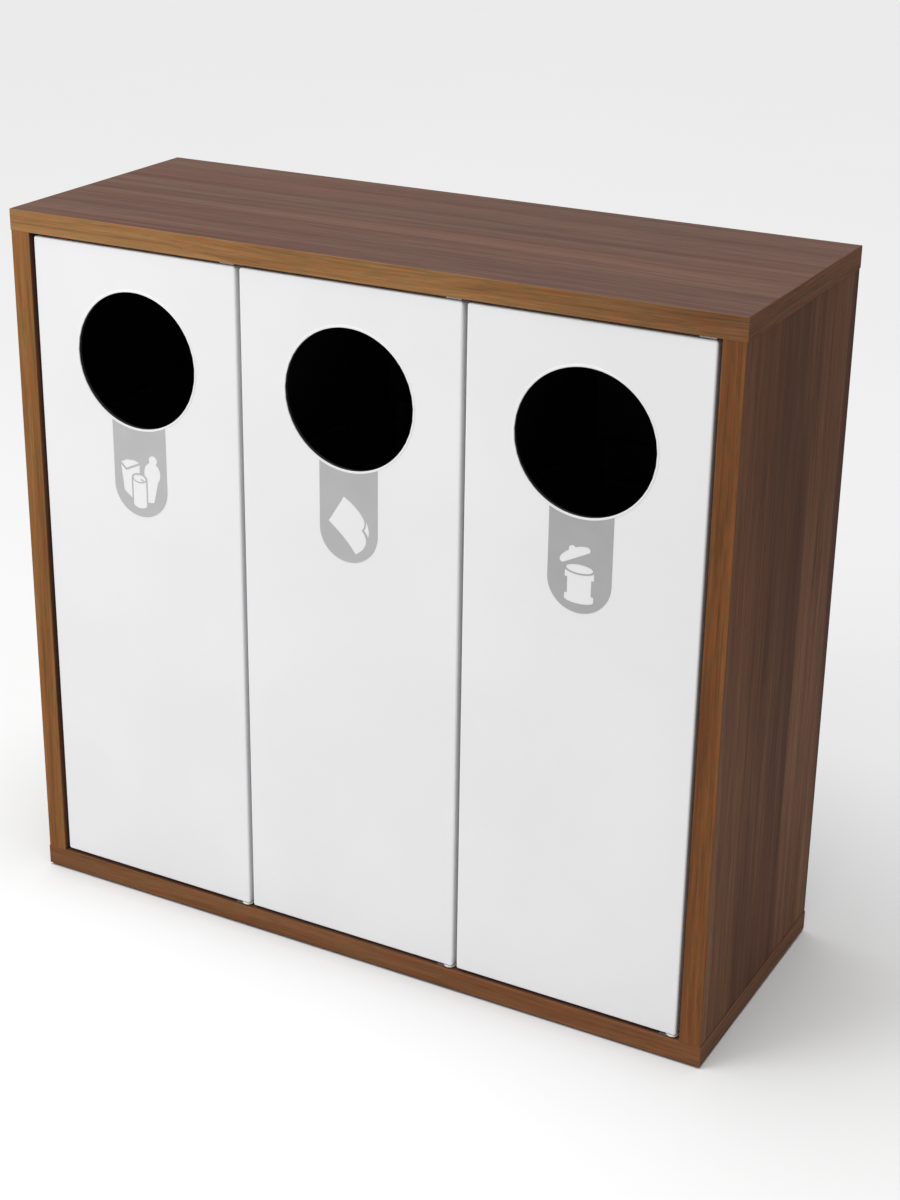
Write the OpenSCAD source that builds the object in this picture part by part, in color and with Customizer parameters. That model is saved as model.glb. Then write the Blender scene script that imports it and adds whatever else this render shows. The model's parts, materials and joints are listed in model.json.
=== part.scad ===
// Three-compartment litter bin: a wooden cabinet with three hinged steel doors, each with a round
// throw-in hole and a film label, over three lift-out inner bins.
// Millimetres. The origin is on the floor under the middle of the cabinet: +X right, +Y back, +Z up.

/* [Cabinet] */
// Overall width, across the top board
cabinet_w = 900; // [840:5:1200]
// Overall depth, front edge to back edge
cabinet_d = 334; // [300:1:420]
// Height of the wooden box without its feet
cabinet_h = 855; // [700:5:1100]
// Thickness of the top, bottom and side boards
board_t = 25; // [22:1:30]
// How far the top and bottom boards reach past each side board
end_overhang = 1; // [0:0.5:3]
// Thickness of the edging strips
edging_t = 1; // [0.8:0.2:2]
// Thickness of the two partitions
partition_t = 16; // [16:1:19]
// Thickness of the back panel
back_t = 4; // [3:0.5:6]
// Distance from the cabinet's back edge to the back panel
back_inset = 8; // [6:1:20]
// Depth of the groove that holds the back panel
groove_d = 8; // [5:1:10]

/* [Doors] */
// Gap beside each door
door_gap = 5; // [4:0.5:8]
// Gap above and below each door
door_gap_z = 3.5; // [3.4:0.1:6]
// How far the doors sit behind the cabinet's front edge
door_recess = 2; // [0:0.5:6]
// Depth of the folded door pan
door_t = 18; // [16:0.5:24]
// Thickness of the door's steel sheet
sheet_t = 1; // [0.8:0.1:1.5]
// Radius of the door's corners, seen from the front
door_corner_r = 3; // [2:0.5:6]
// Width of the lip that returns round the back of the pan
lip_w = 16; // [14:1:24]

/* [Throw-in holes] */
// Diameter of each throw-in hole
hole_d = 161; // [120:1:200]
// Distance from the door's top edge down to the hole's centre
hole_drop = 128.5; // [115:0.5:180]
// Width of the raised rim that is pressed round each hole
rim_w = 2.2; // [1.5:0.1:4]
// How far the rim stands out of the door's face
rim_out = 0.5; // [0.2:0.1:1]
// How far the aperture ring's bore stands back from the hole's edge
ring_back = 0.3; // [0.1:0.1:1]
// Wall of the aperture ring
ring_wall = 1; // [0.8:0.1:2]
// How far the ring reaches in behind the door's sheet
ring_depth = 5; // [3:0.5:9]
// Width of the ring's flange behind the sheet
ring_flange_w = 9; // [6:1:14]
// Thickness of the ring's flange
ring_flange_t = 1.5; // [1:0.1:2.5]

/* [Labels] */
// Width of the film label
label_w = 74; // [60:1:90]
// Distance from the hole's centre down to the label's rounded end
label_reach = 188.5; // [175:0.5:240]
// Thickness of the film
label_t = 0.3; // [0.2:0.1:0.5]

/* [Pivot hinges] */
// Distance from the door's edge and from its face to the pivot
pivot_in = 6; // [5.5:0.5:7]
// Radius of the pivot pins
pin_r = 3; // [2.5:0.1:3.2]
// Thickness of the hinge plates
plate_t = 2; // [1.5:0.1:2]
// Width of the pivot block inside each hinged corner
block_w = 24; // [22:1:40]
// Height of the pivot block
block_h = 14; // [10:1:24]

/* [Inner bins] */
// Sheet thickness of the inner bins
bin_sheet = 1; // [0.8:0.1:2]
// Width of the bin's rim
bin_rim_w = 4; // [3:0.5:4]
// Height of the bin's rim
bin_rim_h = 3; // [2:0.5:6]
// Radius of the bin's upright corners
bin_corner_r = 12; // [8:1:20]
// Space between the bin's rim and the door's edge lines
bin_side_space = 20; // [18:1:40]
// Distance from the hole's lower edge down to the bin's rim
bin_drop = 23; // [18:1:80]
// Radius of the bail's wire
bail_wire_r = 2.5; // [2:0.1:3]

/* [Feet] */
// Height of the gap under the cabinet when the feet are screwed right in
foot_gap = 3; // [2.5:0.5:8]
// Radius of a foot's pad
foot_r = 16; // [12:1:24]
// Distance from the cabinet's end to a foot's centre
foot_in_x = 60; // [40:1:120]
// Distance from the cabinet's front or back to a foot's centre
foot_in_y = 50; // [36:1:90]
// Radius of a foot's threaded stem
stem_r = 4; // [3:0.5:5]

/* [Hidden] */
$fn = 64;
DOORS = 3;
NAMES = ["left", "middle", "right"];
FEET = ["front_left_foot", "front_right_foot", "back_left_foot", "back_right_foot"];

// clearances
fit = 0.05; // between a pin and the bore it turns in
loose = 0.1; // between pieces that are fixed to each other
seat = 0.3; // between pieces that rest on each other but move apart
bail_side = 0.5; // between a lug's line and the bail's arm
groove_play = 0.4; // between the back panel and the groove's walls
wall_clear = 1.5; // between a hinge plate and the partition beside it

// cabinet
front_y = -cabinet_d / 2;
back_y = cabinet_d / 2;
z_base = foot_gap;
z_floor = z_base + board_t; // top of the bottom board
z_top = z_base + cabinet_h;
z_roof = z_top - board_t; // underside of the top board
board_y = front_y + edging_t; // front of a board, behind its edging
inner_x = cabinet_w / 2 - end_overhang - board_t; // inner face of a side board
back_panel_y = back_y - back_inset - back_t;

// doors
door_w = (2 * inner_x - (DOORS + 1) * door_gap) / DOORS;
door_y = front_y + door_recess;
door_back_y = door_y + door_t;
door_z0 = z_floor + door_gap_z;
door_z1 = z_roof - door_gap_z;
door_h = door_z1 - door_z0;
hole_r = hole_d / 2;
hole_z = door_z1 - hole_drop;
ring_r = hole_r + ring_back + ring_wall;
rim_r = hole_r + rim_w;
pivot_y = door_y + pivot_in;

// partitions stand behind the doors, clear of the corner that swings back as a door opens
swing_clear = 4.5;
partition_y = door_back_y + swing_clear;

// hinge plates: a tongue in front carries the pivot, and a wider part behind takes the screws
tongue_w = 18;
tongue_side = 4; // from the pivot to the tongue's free edge
plate_front = 1; // from the door's face back to the plate
plate_w = 38;
plate_back_d = 12; // how far the plate reaches past the partition's front edge
plate_screw_x = [-10, -30]; // from the pivot
plate_y1 = partition_y + plate_back_d;
plate_screw_y = plate_y1 - 7;
tongue_y1 = partition_y - wall_clear;
washer_r = 7;
pin_flange_gap = 0.5; // hole in the pan round a pin
pin_head_r = 5;
pin_head_h = 2;
pin_short = 1; // from a lower pin's end to the top of its block

// pivot block screws
block_screw_x = [8, 19]; // from the door's hinged edge
block_screw_r = 1.75;
block_screw_head_r = 3.5;
block_screw_head_h = 2;
block_screw_l = 7;

// countersunk wood screws
wood_screw_r = 1.9;
wood_screw_head_r = 3.6;
wood_screw_l = 16;

// magnetic catches
catch_x = 40; // from the door's free edge to the catch's middle
catch_w = 46;
catch_d = 14;
catch_h = 18;
catch_wall = 2;
magnet_w = 26;
pole_t = 1.5;
magnet_h = 8;
pole_out = 1; // how far the pole plates stand out of the housing
strike_w = 38;
strike_h = 12;
strike_t = 1.2;
catch_screw_x = 18;
catch_screw_up = 4; // from the top board down to the screw's head
catch_y = door_back_y + strike_t + seat + pole_out;

// board joints: a cam fitting and a dowel at two places along each end of each upright board
cam_face = 8; // from the board's face to the bolt
cam_in = 34; // from the board's end to the cam
cam_r = 7.5;
cam_h = 12.5;
bolt_r = 3.2;
bolt_thread_r = 3;
bolt_thread_l = 11;
bolt_neck_r = 1.8;
bolt_neck_l = 6;
bolt_head_l = 3;
bolt_hole_r = bolt_r + 0.3;
dowel_r = 4;
dowel_in = 11.5; // into the top or bottom board
dowel_out = 23; // into the upright board
dowel_end = 0.5; // air past each end of a dowel
dowel_pitch = 32; // from the cam to its dowel
joint_front = 62; // from the cabinet's front to the first cam
joint_back = 92; // from the cabinet's back to the second cam
JOINT_YS = [front_y + joint_front, back_y - joint_back];
function partition_x(i) = door_x(i) + door_w + door_gap / 2;
// inner face that shows the cams, and the direction from it into the board
UPRIGHTS = [
    [-inner_x, -1],
    [inner_x, 1],
    [partition_x(0) - partition_t / 2, 1],
    [partition_x(1) + partition_t / 2, -1]
];

// back panel screws
back_screw_r = 1.9;
back_screw_l = 22;
back_screw_head_r = 4;
back_screw_head_h = 2.5;
back_screw_end = 80; // from the partition's ends

// inner bins
bin_w = door_w - 2 * bin_side_space;
bin_front_gap = 4; // from the hinge plates to the rim
bin_back_gap = 9; // from the rim to the back panel
bin_y0 = plate_y1 + bin_front_gap;
bin_y1 = back_panel_y - bin_back_gap;
bin_z1 = hole_z - hole_r - bin_drop;
bin_mid_y = (bin_y0 + bin_y1) / 2;
lug_t = 2;
lug_w = 18;
lug_h = 28;
lug_up = 8; // above the rim
bail_x = bin_w / 2 - bin_rim_w - bin_sheet + bail_side + bail_wire_r;
bail_z = bin_z1 + seat + bail_wire_r;
bail_reach = (bin_y1 - bin_y0) / 2 - bin_rim_w / 2;
bail_bend_r = 14;
bail_head_r = 4;
bail_head_l = 2.5;

// feet
insert_r = 6;
insert_l = 21;
insert_flange_r = 10;
insert_flange_t = 1.5;
stem_l = 20;
foot_x = cabinet_w / 2 - foot_in_x;
foot_y = cabinet_d / 2 - foot_in_y;
FOOT_PLACES = [[-foot_x, -foot_y], [foot_x, -foot_y], [-foot_x, foot_y], [foot_x, foot_y]];

function door_x(i) = -inner_x + door_gap + i * (door_w + door_gap); // left, free edge
function door_edge(i) = door_x(i) + door_w; // right, hinged edge
function door_mid(i) = door_x(i) + door_w / 2;
function pivot_x(i) = door_edge(i) - pivot_in;
function catch_mid(i) = door_x(i) + catch_x;

// ---------- shared shapes ----------

// A box from one corner to the other
module span(x, y, z) {
    translate([x[0], y[0], z[0]]) cube([x[1] - x[0], y[1] - y[0], z[1] - z[0]]);
}

// A rectangle with round corners, its lower left corner at the origin
module round_rect(w, h, r) {
    translate([r, 0]) square([w - 2 * r, h]);
    translate([0, r]) square([w, h - 2 * r]);
    for (x = [r, w - r], y = [r, h - r]) translate([x, y]) circle(r);
}

// A round-cornered plate that stands upright, facing the front, between two depths
module upright_plate(w, h, r, y) {
    translate([0, y[1], 0]) rotate([90, 0, 0]) linear_extrude(y[1] - y[0]) round_rect(w, h, r);
}

// Moves to the middle of a door's hole, with +Z out of the door and +Y up
module at_hole(i) {
    translate([door_mid(i), door_y, hole_z]) rotate([90, 0, 0]) children();
}

// Countersunk screw, its head's face at the origin, pointing down
module wood_screw(r, head_r, l) {
    translate([0, 0, -l]) cylinder(r = r, h = l);
    translate([0, 0, -(head_r - r)]) cylinder(r1 = r, r2 = head_r, h = head_r - r);
}

// Places children at the board joints: +Z into the top or bottom board, +X into the upright
module at_joints(uprights, tops) {
    for (u = uprights, y = JOINT_YS, top = tops)
        translate([UPRIGHTS[u][0] + UPRIGHTS[u][1] * cam_face, y, top ? z_roof : z_floor])
            mirror([UPRIGHTS[u][1] < 0 ? 1 : 0, 0, 0])
                mirror([0, 0, top ? 0 : 1])
                    children();
}

// What the joints cut out of the boards
module joint_cuts() {
    translate([0, 0, -cam_in]) cylinder(r = bolt_hole_r, h = cam_in);
    cylinder(r = bolt_thread_r + fit, h = bolt_thread_l + dowel_end);
    translate([-cam_face - 1, 0, -cam_in])
        rotate([0, 90, 0])
            cylinder(r = cam_r + loose, h = cam_h + 1 + loose);
    translate([0, dowel_pitch, -dowel_out - dowel_end])
        cylinder(r = dowel_r + fit, h = dowel_out + dowel_in + 2 * dowel_end);
}

// ---------- cabinet ----------

// Groove for the back panel, cut along the inside of the four outer boards
module back_groove() {
    x = inner_x + groove_d;
    difference() {
        span([-x, x], [back_panel_y - groove_play / 2, back_panel_y + back_t + groove_play / 2],
            [z_floor - groove_d, z_roof + groove_d]);
        span([-inner_x, inner_x], [back_panel_y - 1, back_panel_y + back_t + 1], [z_floor, z_roof]);
    }
}

// Pilot holes for the screws of the hinge plates and catches
module plate_pilots(z, up) {
    for (i = [0:DOORS - 1], x = plate_screw_x)
        translate([pivot_x(i) + x, plate_screw_y, z])
            mirror([0, 0, up ? 0 : 1])
                cylinder(r = wood_screw_r + fit, h = wood_screw_l);
}

module catch_pilots() {
    for (i = [0:DOORS - 1], s = [-1, 1])
        translate([catch_mid(i) + s * catch_screw_x, catch_y + catch_d / 2, z_roof])
            cylinder(r = wood_screw_r + fit, h = wood_screw_l);
}

module top_panel() {
    x = cabinet_w / 2 - edging_t;
    color("#7a5a4e") difference() {
        span([-x, x], [board_y, back_y], [z_roof, z_top]);
        back_groove();
        at_joints([0:3], [true]) joint_cuts();
        plate_pilots(z_roof, true);
        catch_pilots();
    }
}

module bottom_panel() {
    x = cabinet_w / 2 - edging_t;
    color("#7a5a4e") difference() {
        span([-x, x], [board_y, back_y], [z_base, z_floor]);
        back_groove();
        at_joints([0:3], [false]) joint_cuts();
        plate_pilots(z_floor, false);
        for (p = FOOT_PLACES) translate([p[0], p[1], z_base]) {
            cylinder(r = insert_flange_r + loose, h = insert_flange_t);
            cylinder(r = insert_r + loose, h = insert_l + 1);
        }
    }
}

module side_panel(u) {
    s = UPRIGHTS[u][1];
    x = [s * inner_x, s * (inner_x + board_t)];
    color("#5a4338") difference() {
        span([min(x), max(x)], [board_y, back_y], [z_floor, z_roof]);
        back_groove();
        at_joints([u], [true, false]) joint_cuts();
    }
}

module partition(i) {
    x = partition_x(i);
    color("#26221f") difference() {
        span([x - partition_t / 2, x + partition_t / 2],
            [partition_y + edging_t, back_panel_y - groove_play / 2], [z_floor, z_roof]);
        at_joints([i + 2], [true, false]) joint_cuts();
        at_back_screws(i)
            rotate([90, 0, 0]) cylinder(r = back_screw_r + fit, h = back_screw_l + 1);
    }
}

module back_panel() {
    x = inner_x + groove_d - groove_play;
    color("#1d1b1a") difference() {
        span([-x, x], [back_panel_y, back_panel_y + back_t],
            [z_floor - groove_d + groove_play, z_roof + groove_d - groove_play]);
        for (i = [0, 1]) at_back_screws(i)
            rotate([90, 0, 0]) cylinder(r = back_screw_r + loose, h = back_screw_l);
    }
}

// Three screws into each partition, starting at the back panel's outer face
module at_back_screws(i) {
    for (z = [z_floor + back_screw_end, (z_floor + z_roof) / 2, z_roof - back_screw_end])
        translate([partition_x(i), back_panel_y + back_t, z]) children();
}

module back_panel_screws() {
    color("#b9b4a6") for (i = [0, 1]) at_back_screws(i) rotate([90, 0, 0]) {
        cylinder(r = back_screw_r, h = back_screw_l);
        translate([0, 0, -back_screw_head_h]) cylinder(r = back_screw_head_r, h = back_screw_head_h);
    }
}

// Edging on the front of a full-width board
module wide_edging(z) {
    color("#92683f") span([-cabinet_w / 2, cabinet_w / 2], [front_y, board_y], [z, z + board_t]);
}

// Edging on both ends of a full-width board
module end_edgings(z) {
    color("#6b4a35") for (s = [-1, 1])
        translate([s * (cabinet_w / 2 - edging_t / 2), 0, 0])
            span([-edging_t / 2, edging_t / 2], [board_y, back_y], [z, z + board_t]);
}

// Edging on the front of a side board
module upright_edging(s) {
    x = s * (inner_x + board_t / 2);
    color("#87603a")
        span([x - board_t / 2, x + board_t / 2], [front_y, board_y], [z_floor, z_roof]);
}

module partition_edgings() {
    color("#26221f") for (i = [0, 1])
        translate([partition_x(i), 0, 0])
            span([-partition_t / 2, partition_t / 2], [partition_y, partition_y + edging_t],
                [z_floor, z_roof]);
}

module wood_dowels() {
    color("#d9b98a") at_joints([0:3], [true, false])
        translate([0, dowel_pitch, -dowel_out]) cylinder(r = dowel_r, h = dowel_out + dowel_in);
}

// Threaded into the top or bottom board, with a head that the cam pulls on
module cam_bolts() {
    shank_l = cam_in - bolt_neck_l;
    color("#c8c4b8") at_joints([0:3], [true, false]) {
        cylinder(r = bolt_thread_r, h = bolt_thread_l);
        translate([0, 0, -shank_l]) cylinder(r = bolt_r, h = shank_l);
        translate([0, 0, -cam_in]) cylinder(r = bolt_neck_r, h = bolt_neck_l + 1);
        translate([0, 0, -cam_in - bolt_head_l / 2]) cylinder(r = bolt_r - loose, h = bolt_head_l);
    }
}

module cam_housings() {
    color("#9a9a94") at_joints([0:3], [true, false]) translate([-cam_face, 0, -cam_in]) difference() {
        rotate([0, 90, 0]) cylinder(r = cam_r, h = cam_h);
        translate([cam_face, 0, -bolt_head_l]) cylinder(r = bolt_hole_r, h = cam_r + bolt_head_l + 1);
        for (a = [0, 90]) rotate([a, 0, 0]) translate([-1, -4, -0.8]) cube([3, 8, 1.6]);
    }
}

// ---------- hinges and catches ----------

module hinge_plate(i, z) {
    x = pivot_x(i);
    difference() {
        union() {
            span([x - tongue_w + tongue_side, x + tongue_side],
                [door_y + plate_front, tongue_y1], [z, z + plate_t]);
            span([x - plate_w, x - wall_clear], [door_back_y - plate_front, plate_y1], [z, z + plate_t]);
        }
        translate([x, pivot_y, z - 1]) cylinder(r = pin_r + fit, h = plate_t + 2);
        for (sx = plate_screw_x)
            translate([x + sx, plate_screw_y, z - 1]) cylinder(r = wood_screw_r + loose, h = plate_t + 2);
    }
}

// Countersinks are on the face away from the board
module hinge_plates(z, up) {
    sink = wood_screw_head_r - wood_screw_r;
    color("#b8babb") for (i = [0:DOORS - 1]) difference() {
        hinge_plate(i, z);
        for (sx = plate_screw_x)
            translate([pivot_x(i) + sx, plate_screw_y, up ? z : z + plate_t])
                mirror([0, 0, up ? 1 : 0])
                    translate([0, 0, -sink])
                        cylinder(r1 = wood_screw_r + loose, r2 = wood_screw_head_r + loose, h = sink);
    }
}

module hinge_plate_screws() {
    color("#c8c4b8") for (i = [0:DOORS - 1], x = plate_screw_x) {
        translate([pivot_x(i) + x, plate_screw_y, z_floor + plate_t])
            wood_screw(wood_screw_r, wood_screw_head_r, wood_screw_l);
        translate([pivot_x(i) + x, plate_screw_y, z_roof - plate_t])
            mirror([0, 0, 1]) wood_screw(wood_screw_r, wood_screw_head_r, wood_screw_l);
    }
}

// The lower pins stand in their plates and reach up into the doors' blocks
module lower_pivot_pins() {
    color("#d0d2d3") for (i = [0:DOORS - 1])
        translate([pivot_x(i), pivot_y, z_floor])
            cylinder(r = pin_r, h = door_z0 - z_floor + sheet_t + block_h - pin_short);
}

// The washers carry the doors
module pivot_washers() {
    color("#e9e7df") for (i = [0:DOORS - 1])
        translate([pivot_x(i), pivot_y, z_floor + plate_t]) difference() {
            cylinder(r = washer_r, h = door_gap_z - plate_t - 2 * loose);
            translate([0, 0, -1]) cylinder(r = pin_r + loose, h = door_gap_z + 2);
        }
}

module catch_housings() {
    sink = wood_screw_head_r - wood_screw_r;
    color("#e8e8e6") for (i = [0:DOORS - 1]) translate([catch_mid(i), catch_y, z_roof - catch_h])
        difference() {
            translate([-catch_w / 2, 0, 0]) cube([catch_w, catch_d, catch_h]);
            translate([-magnet_w / 2 - loose, -1, catch_wall])
                cube([magnet_w + 2 * loose, catch_d - catch_wall + 1, magnet_h + 2 * loose]);
            for (s = [-1, 1]) translate([s * catch_screw_x, catch_d / 2, 0]) {
                cylinder(r = wood_screw_r + loose, h = catch_h + 1);
                translate([0, 0, -1])
                    cylinder(r = wood_screw_head_r + loose, h = catch_h - catch_screw_up + 1);
                translate([0, 0, catch_h - catch_screw_up])
                    cylinder(r1 = wood_screw_head_r + loose, r2 = wood_screw_r + loose, h = sink);
            }
        }
}

// The magnet with its two pole plates, which stand a little out of the housing
module catch_magnets() {
    color("#3c3d40") for (i = [0:DOORS - 1])
        translate([catch_mid(i) - magnet_w / 2, catch_y - pole_out, z_roof - catch_h + catch_wall + loose])
            difference() {
                cube([magnet_w, catch_d - catch_wall + pole_out - loose, magnet_h]);
                translate([-1, -1, pole_t]) cube([magnet_w + 2, pole_out + 1, magnet_h - 2 * pole_t]);
            }
}

module catch_screws() {
    color("#c8c4b8") for (i = [0:DOORS - 1], s = [-1, 1])
        translate([catch_mid(i) + s * catch_screw_x, catch_y + catch_d / 2, z_roof - catch_screw_up])
            mirror([0, 0, 1]) wood_screw(wood_screw_r, wood_screw_head_r, wood_screw_l);
}

// ---------- doors ----------

// A pan folded from one sheet, with its hole and the two holes for the pivots
module door_pan(i) {
    color("#ececea") difference() {
        union() {
            translate([door_x(i), 0, door_z0])
                upright_plate(door_w, door_h, door_corner_r, [door_y, door_back_y]);
            at_hole(i) translate([0, 0, -sheet_t]) cylinder(r = rim_r, h = sheet_t + rim_out, $fn = 96);
        }
        translate([door_x(i) + sheet_t, 0, door_z0 + sheet_t])
            upright_plate(door_w - 2 * sheet_t, door_h - 2 * sheet_t, door_corner_r - sheet_t,
                [door_y + sheet_t, door_back_y - sheet_t]);
        span([door_x(i) + lip_w, door_edge(i) - lip_w], [door_back_y - 2 * sheet_t, door_back_y + 1],
            [door_z0 + lip_w, door_z1 - lip_w]);
        at_hole(i) translate([0, 0, -2 * sheet_t])
            cylinder(r = hole_r, h = 3 * sheet_t + rim_out, $fn = 96);
        translate([pivot_x(i), pivot_y, door_z0 - 1])
            cylinder(r = pin_r + pin_flange_gap, h = sheet_t + 2);
        translate([pivot_x(i), pivot_y, door_z1 - sheet_t - 1])
            cylinder(r = pin_r + pin_flange_gap, h = sheet_t + 2);
        at_block_screws(i) translate([0, 0, -1]) cylinder(r = block_screw_r + loose, h = sheet_t + 2);
    }
}

// A collar whose flange is bonded to the back of the sheet, just outside the hole's edge
module aperture_ring(i) {
    color("#1c1c1c") at_hole(i) difference() {
        union() {
            translate([0, 0, -sheet_t - ring_depth]) cylinder(r = ring_r, h = ring_depth, $fn = 96);
            translate([0, 0, -sheet_t - ring_flange_t])
                cylinder(r = ring_r + ring_flange_w, h = ring_flange_t, $fn = 96);
        }
        translate([0, 0, -sheet_t - ring_depth - 1])
            cylinder(r = hole_r + ring_back, h = ring_depth + 2, $fn = 96);
    }
}

// The blocks fill the two hinged corners of the pan and hold the pivots
module pivot_blocks(i) {
    color("#55585a") for (z = [door_z0 + sheet_t + loose, door_z1 - sheet_t - loose - block_h])
        difference() {
            translate([door_edge(i) - sheet_t - loose - block_w, 0, z])
                upright_plate(block_w, block_h, door_corner_r - sheet_t,
                    [door_y + sheet_t + loose, door_back_y - sheet_t]);
            translate([pivot_x(i), pivot_y, z - 1]) cylinder(r = pin_r + fit, h = block_h + 2);
            at_block_screws(i) cylinder(r = block_screw_r + fit, h = block_screw_l + 1);
        }
}

// Places children on the outside of the lip, with +Z into the block
module at_block_screws(i) {
    mid = sheet_t + loose + block_h / 2;
    for (x = block_screw_x, z = [door_z0 + mid, door_z1 - mid])
        translate([door_edge(i) - x, door_back_y, z]) rotate([90, 0, 0]) children();
}

module upper_pin(i) {
    z0 = door_z1 - sheet_t - loose - block_h;
    color("#d0d2d3") translate([pivot_x(i), pivot_y, z0]) {
        cylinder(r = pin_r, h = z_roof - seat - z0);
        translate([0, 0, -pin_head_h]) cylinder(r = pin_head_r, h = pin_head_h);
    }
}

module block_screws(i) {
    color("#c8c4b8") at_block_screws(i) {
        cylinder(r = block_screw_r, h = block_screw_l);
        translate([0, 0, -block_screw_head_h]) cylinder(r = block_screw_head_r, h = block_screw_head_h);
    }
}

// Steel plate on the lip, which the catch's poles hold
module strike_plate(i) {
    z = z_roof - catch_h + catch_wall + loose + magnet_h / 2;
    color("#b8babb")
        span([catch_mid(i) - strike_w / 2, catch_mid(i) + strike_w / 2],
            [door_back_y, door_back_y + strike_t], [z - strike_h / 2, z + strike_h / 2]);
}

// ---------- labels ----------

function ellipse(c, rx, ry, tilt = 0, a0 = 0, a1 = 360, n = 32) = [
    for (k = [0:n - (a1 - a0 == 360 ? 1 : 0)])
        let (a = a0 + (a1 - a0) * k / n)
            [
                c[0] + rx * cos(a) * cos(tilt) - ry * sin(a) * sin(tilt),
                c[1] + rx * cos(a) * sin(tilt) + ry * sin(a) * cos(tilt)
            ]
];

line_w = 1.4; // film left between two parts of a picture

// A curve from a to c that leaves towards b and arrives from it, without its last point
function bend(a, b, c, n = 10) = [
    for (k = [0:n - 1])
        let (t = k / n)
            (1 - t) * (1 - t) * a + 2 * t * (1 - t) * b + t * t * c
];

// Bottle, carton and can; the origin is the middle of the label's round end
module packaging_picture() {
    can_rx = 9.5;
    can_ry = 5;
    can = [-2, 10];
    can_h = 32;
    bottle_x = 18;
    // bottle: round cap, full shoulders and a body that narrows to its foot
    difference() {
        union() {
            translate([bottle_x, 35]) circle(6);
            polygon(ellipse([bottle_x - 1.5, 19], 11.5, 13.5));
            polygon([[bottle_x - 9, 14], [bottle_x + 6.5, 9], [bottle_x, -17], [bottle_x - 9, -18]]);
        }
        can_outline(can, can_rx + line_w, can_ry + line_w, can_h);
    }
    // carton: a gable top over two faces
    difference() {
        union() {
            polygon([[-27.5, 27], [-19, 31], [-9, 31.5], [-1, 29], [-20, 20]]);
            polygon([[-28, 24.5], [-20.5, 17.5], [-1, 26.5], [-1, 8], [-13, -16], [-24, -8]]);
        }
        can_outline(can, can_rx + line_w, can_ry + line_w, can_h);
    }
    // can: its lid with the opening, then its body under a line of film
    difference() {
        polygon(ellipse(can, can_rx - 0.6, can_ry - 0.6));
        polygon(ellipse(can + [4, -1.6], 2.4, 0.9, -20));
    }
    difference() {
        can_outline(can, can_rx, can_ry, can_h);
        polygon(ellipse(can, can_rx + 0.6, can_ry + 0.6));
    }
}

module can_outline(c, rx, ry, h) {
    polygon(ellipse(c, rx, ry));
    translate([c[0] - rx, c[1] - h]) square([2 * rx, h]);
    polygon(ellipse([c[0], c[1] - h], rx, ry));
}

// A sheet of paper with one corner curled over
module paper_picture() {
    apex = [-6, 40];
    curl_top = [19, 18];
    fold = [17, 4];
    foot_corner = [9, -26];
    left_corner = [-26, 8];
    polygon(concat(
        bend(apex, [12, 30], curl_top),
        bend(curl_top, [23, 11], fold),
        bend(fold, [31, -12], foot_corner),
        bend(foot_corner, [-4, -8], left_corner),
        [left_corner]
    ));
    // underside of the curled corner
    polygon(concat(
        bend([22, 16], [28, 6], [25, -4]),
        bend([25, -4], [23, 2], [19.5, 4.5]),
        bend([19.5, 4.5], [23, 9], [22, 16])
    ));
}

// A dustbin with its lid ajar
module dustbin_picture() {
    rim_w = 34;
    body_w = 28;
    rim_y = 2;
    base_y = -22;
    band_h = 6;
    mouth = [0, 13];
    tilt = 27;
    difference() {
        union() {
            translate([-rim_w / 2, rim_y]) square([rim_w, band_h + 2]);
            translate([-body_w / 2, base_y]) square([body_w, rim_y - base_y + 1]);
            translate([-rim_w / 2, base_y]) square([rim_w, band_h]);
            polygon(ellipse([0, base_y], rim_w / 2, 4.5));
        }
        polygon(ellipse(mouth, rim_w / 2 + line_w, 6.6));
    }
    polygon(ellipse(mouth, rim_w / 2 - line_w, 5));
    // lid and its knob
    translate([-6, 28]) rotate(tilt) {
        difference() {
            polygon(ellipse([0, 0], 19.5, 7.5));
            translate([-20, -10]) square([40, 6.5]);
        }
        translate([0, 6.5]) circle(4.5);
    }
}

module picture(i) {
    if (i == 0) packaging_picture();
    if (i == 1) paper_picture();
    if (i == 2) dustbin_picture();
}

// The film hangs from the hole's rim, with the picture cut out so that the white door shows through
module label(i) {
    r = label_w / 2;
    color(["#bebebe", "#b6b6b6", "#a9a9a9"][i]) at_hole(i) linear_extrude(label_t) difference() {
        union() {
            translate([0, -label_reach + r]) circle(r);
            translate([-r, -label_reach + r]) square([label_w, label_reach - r - hole_r / 2]);
        }
        circle(rim_r + seat);
        translate([0, r - label_reach]) picture(i);
    }
}

// ---------- inner bins ----------

module bin_solid(i, grow, z, r) {
    translate([door_mid(i) - bin_w / 2 + bin_rim_w - grow, bin_y0 + bin_rim_w - grow, z[0]])
        linear_extrude(z[1] - z[0])
            round_rect(bin_w - 2 * bin_rim_w + 2 * grow, bin_y1 - bin_y0 - 2 * bin_rim_w + 2 * grow, r);
}

// Folded steel box with a turned-out rim
module inner_bin(i) {
    color("#17181a") difference() {
        union() {
            bin_solid(i, 0, [z_floor, bin_z1], bin_corner_r);
            bin_solid(i, bin_rim_w, [bin_z1 - bin_rim_h, bin_z1], bin_corner_r + bin_rim_w);
        }
        bin_solid(i, -bin_sheet, [z_floor + bin_sheet, bin_z1 + 1], bin_corner_r - bin_sheet);
    }
}

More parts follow.
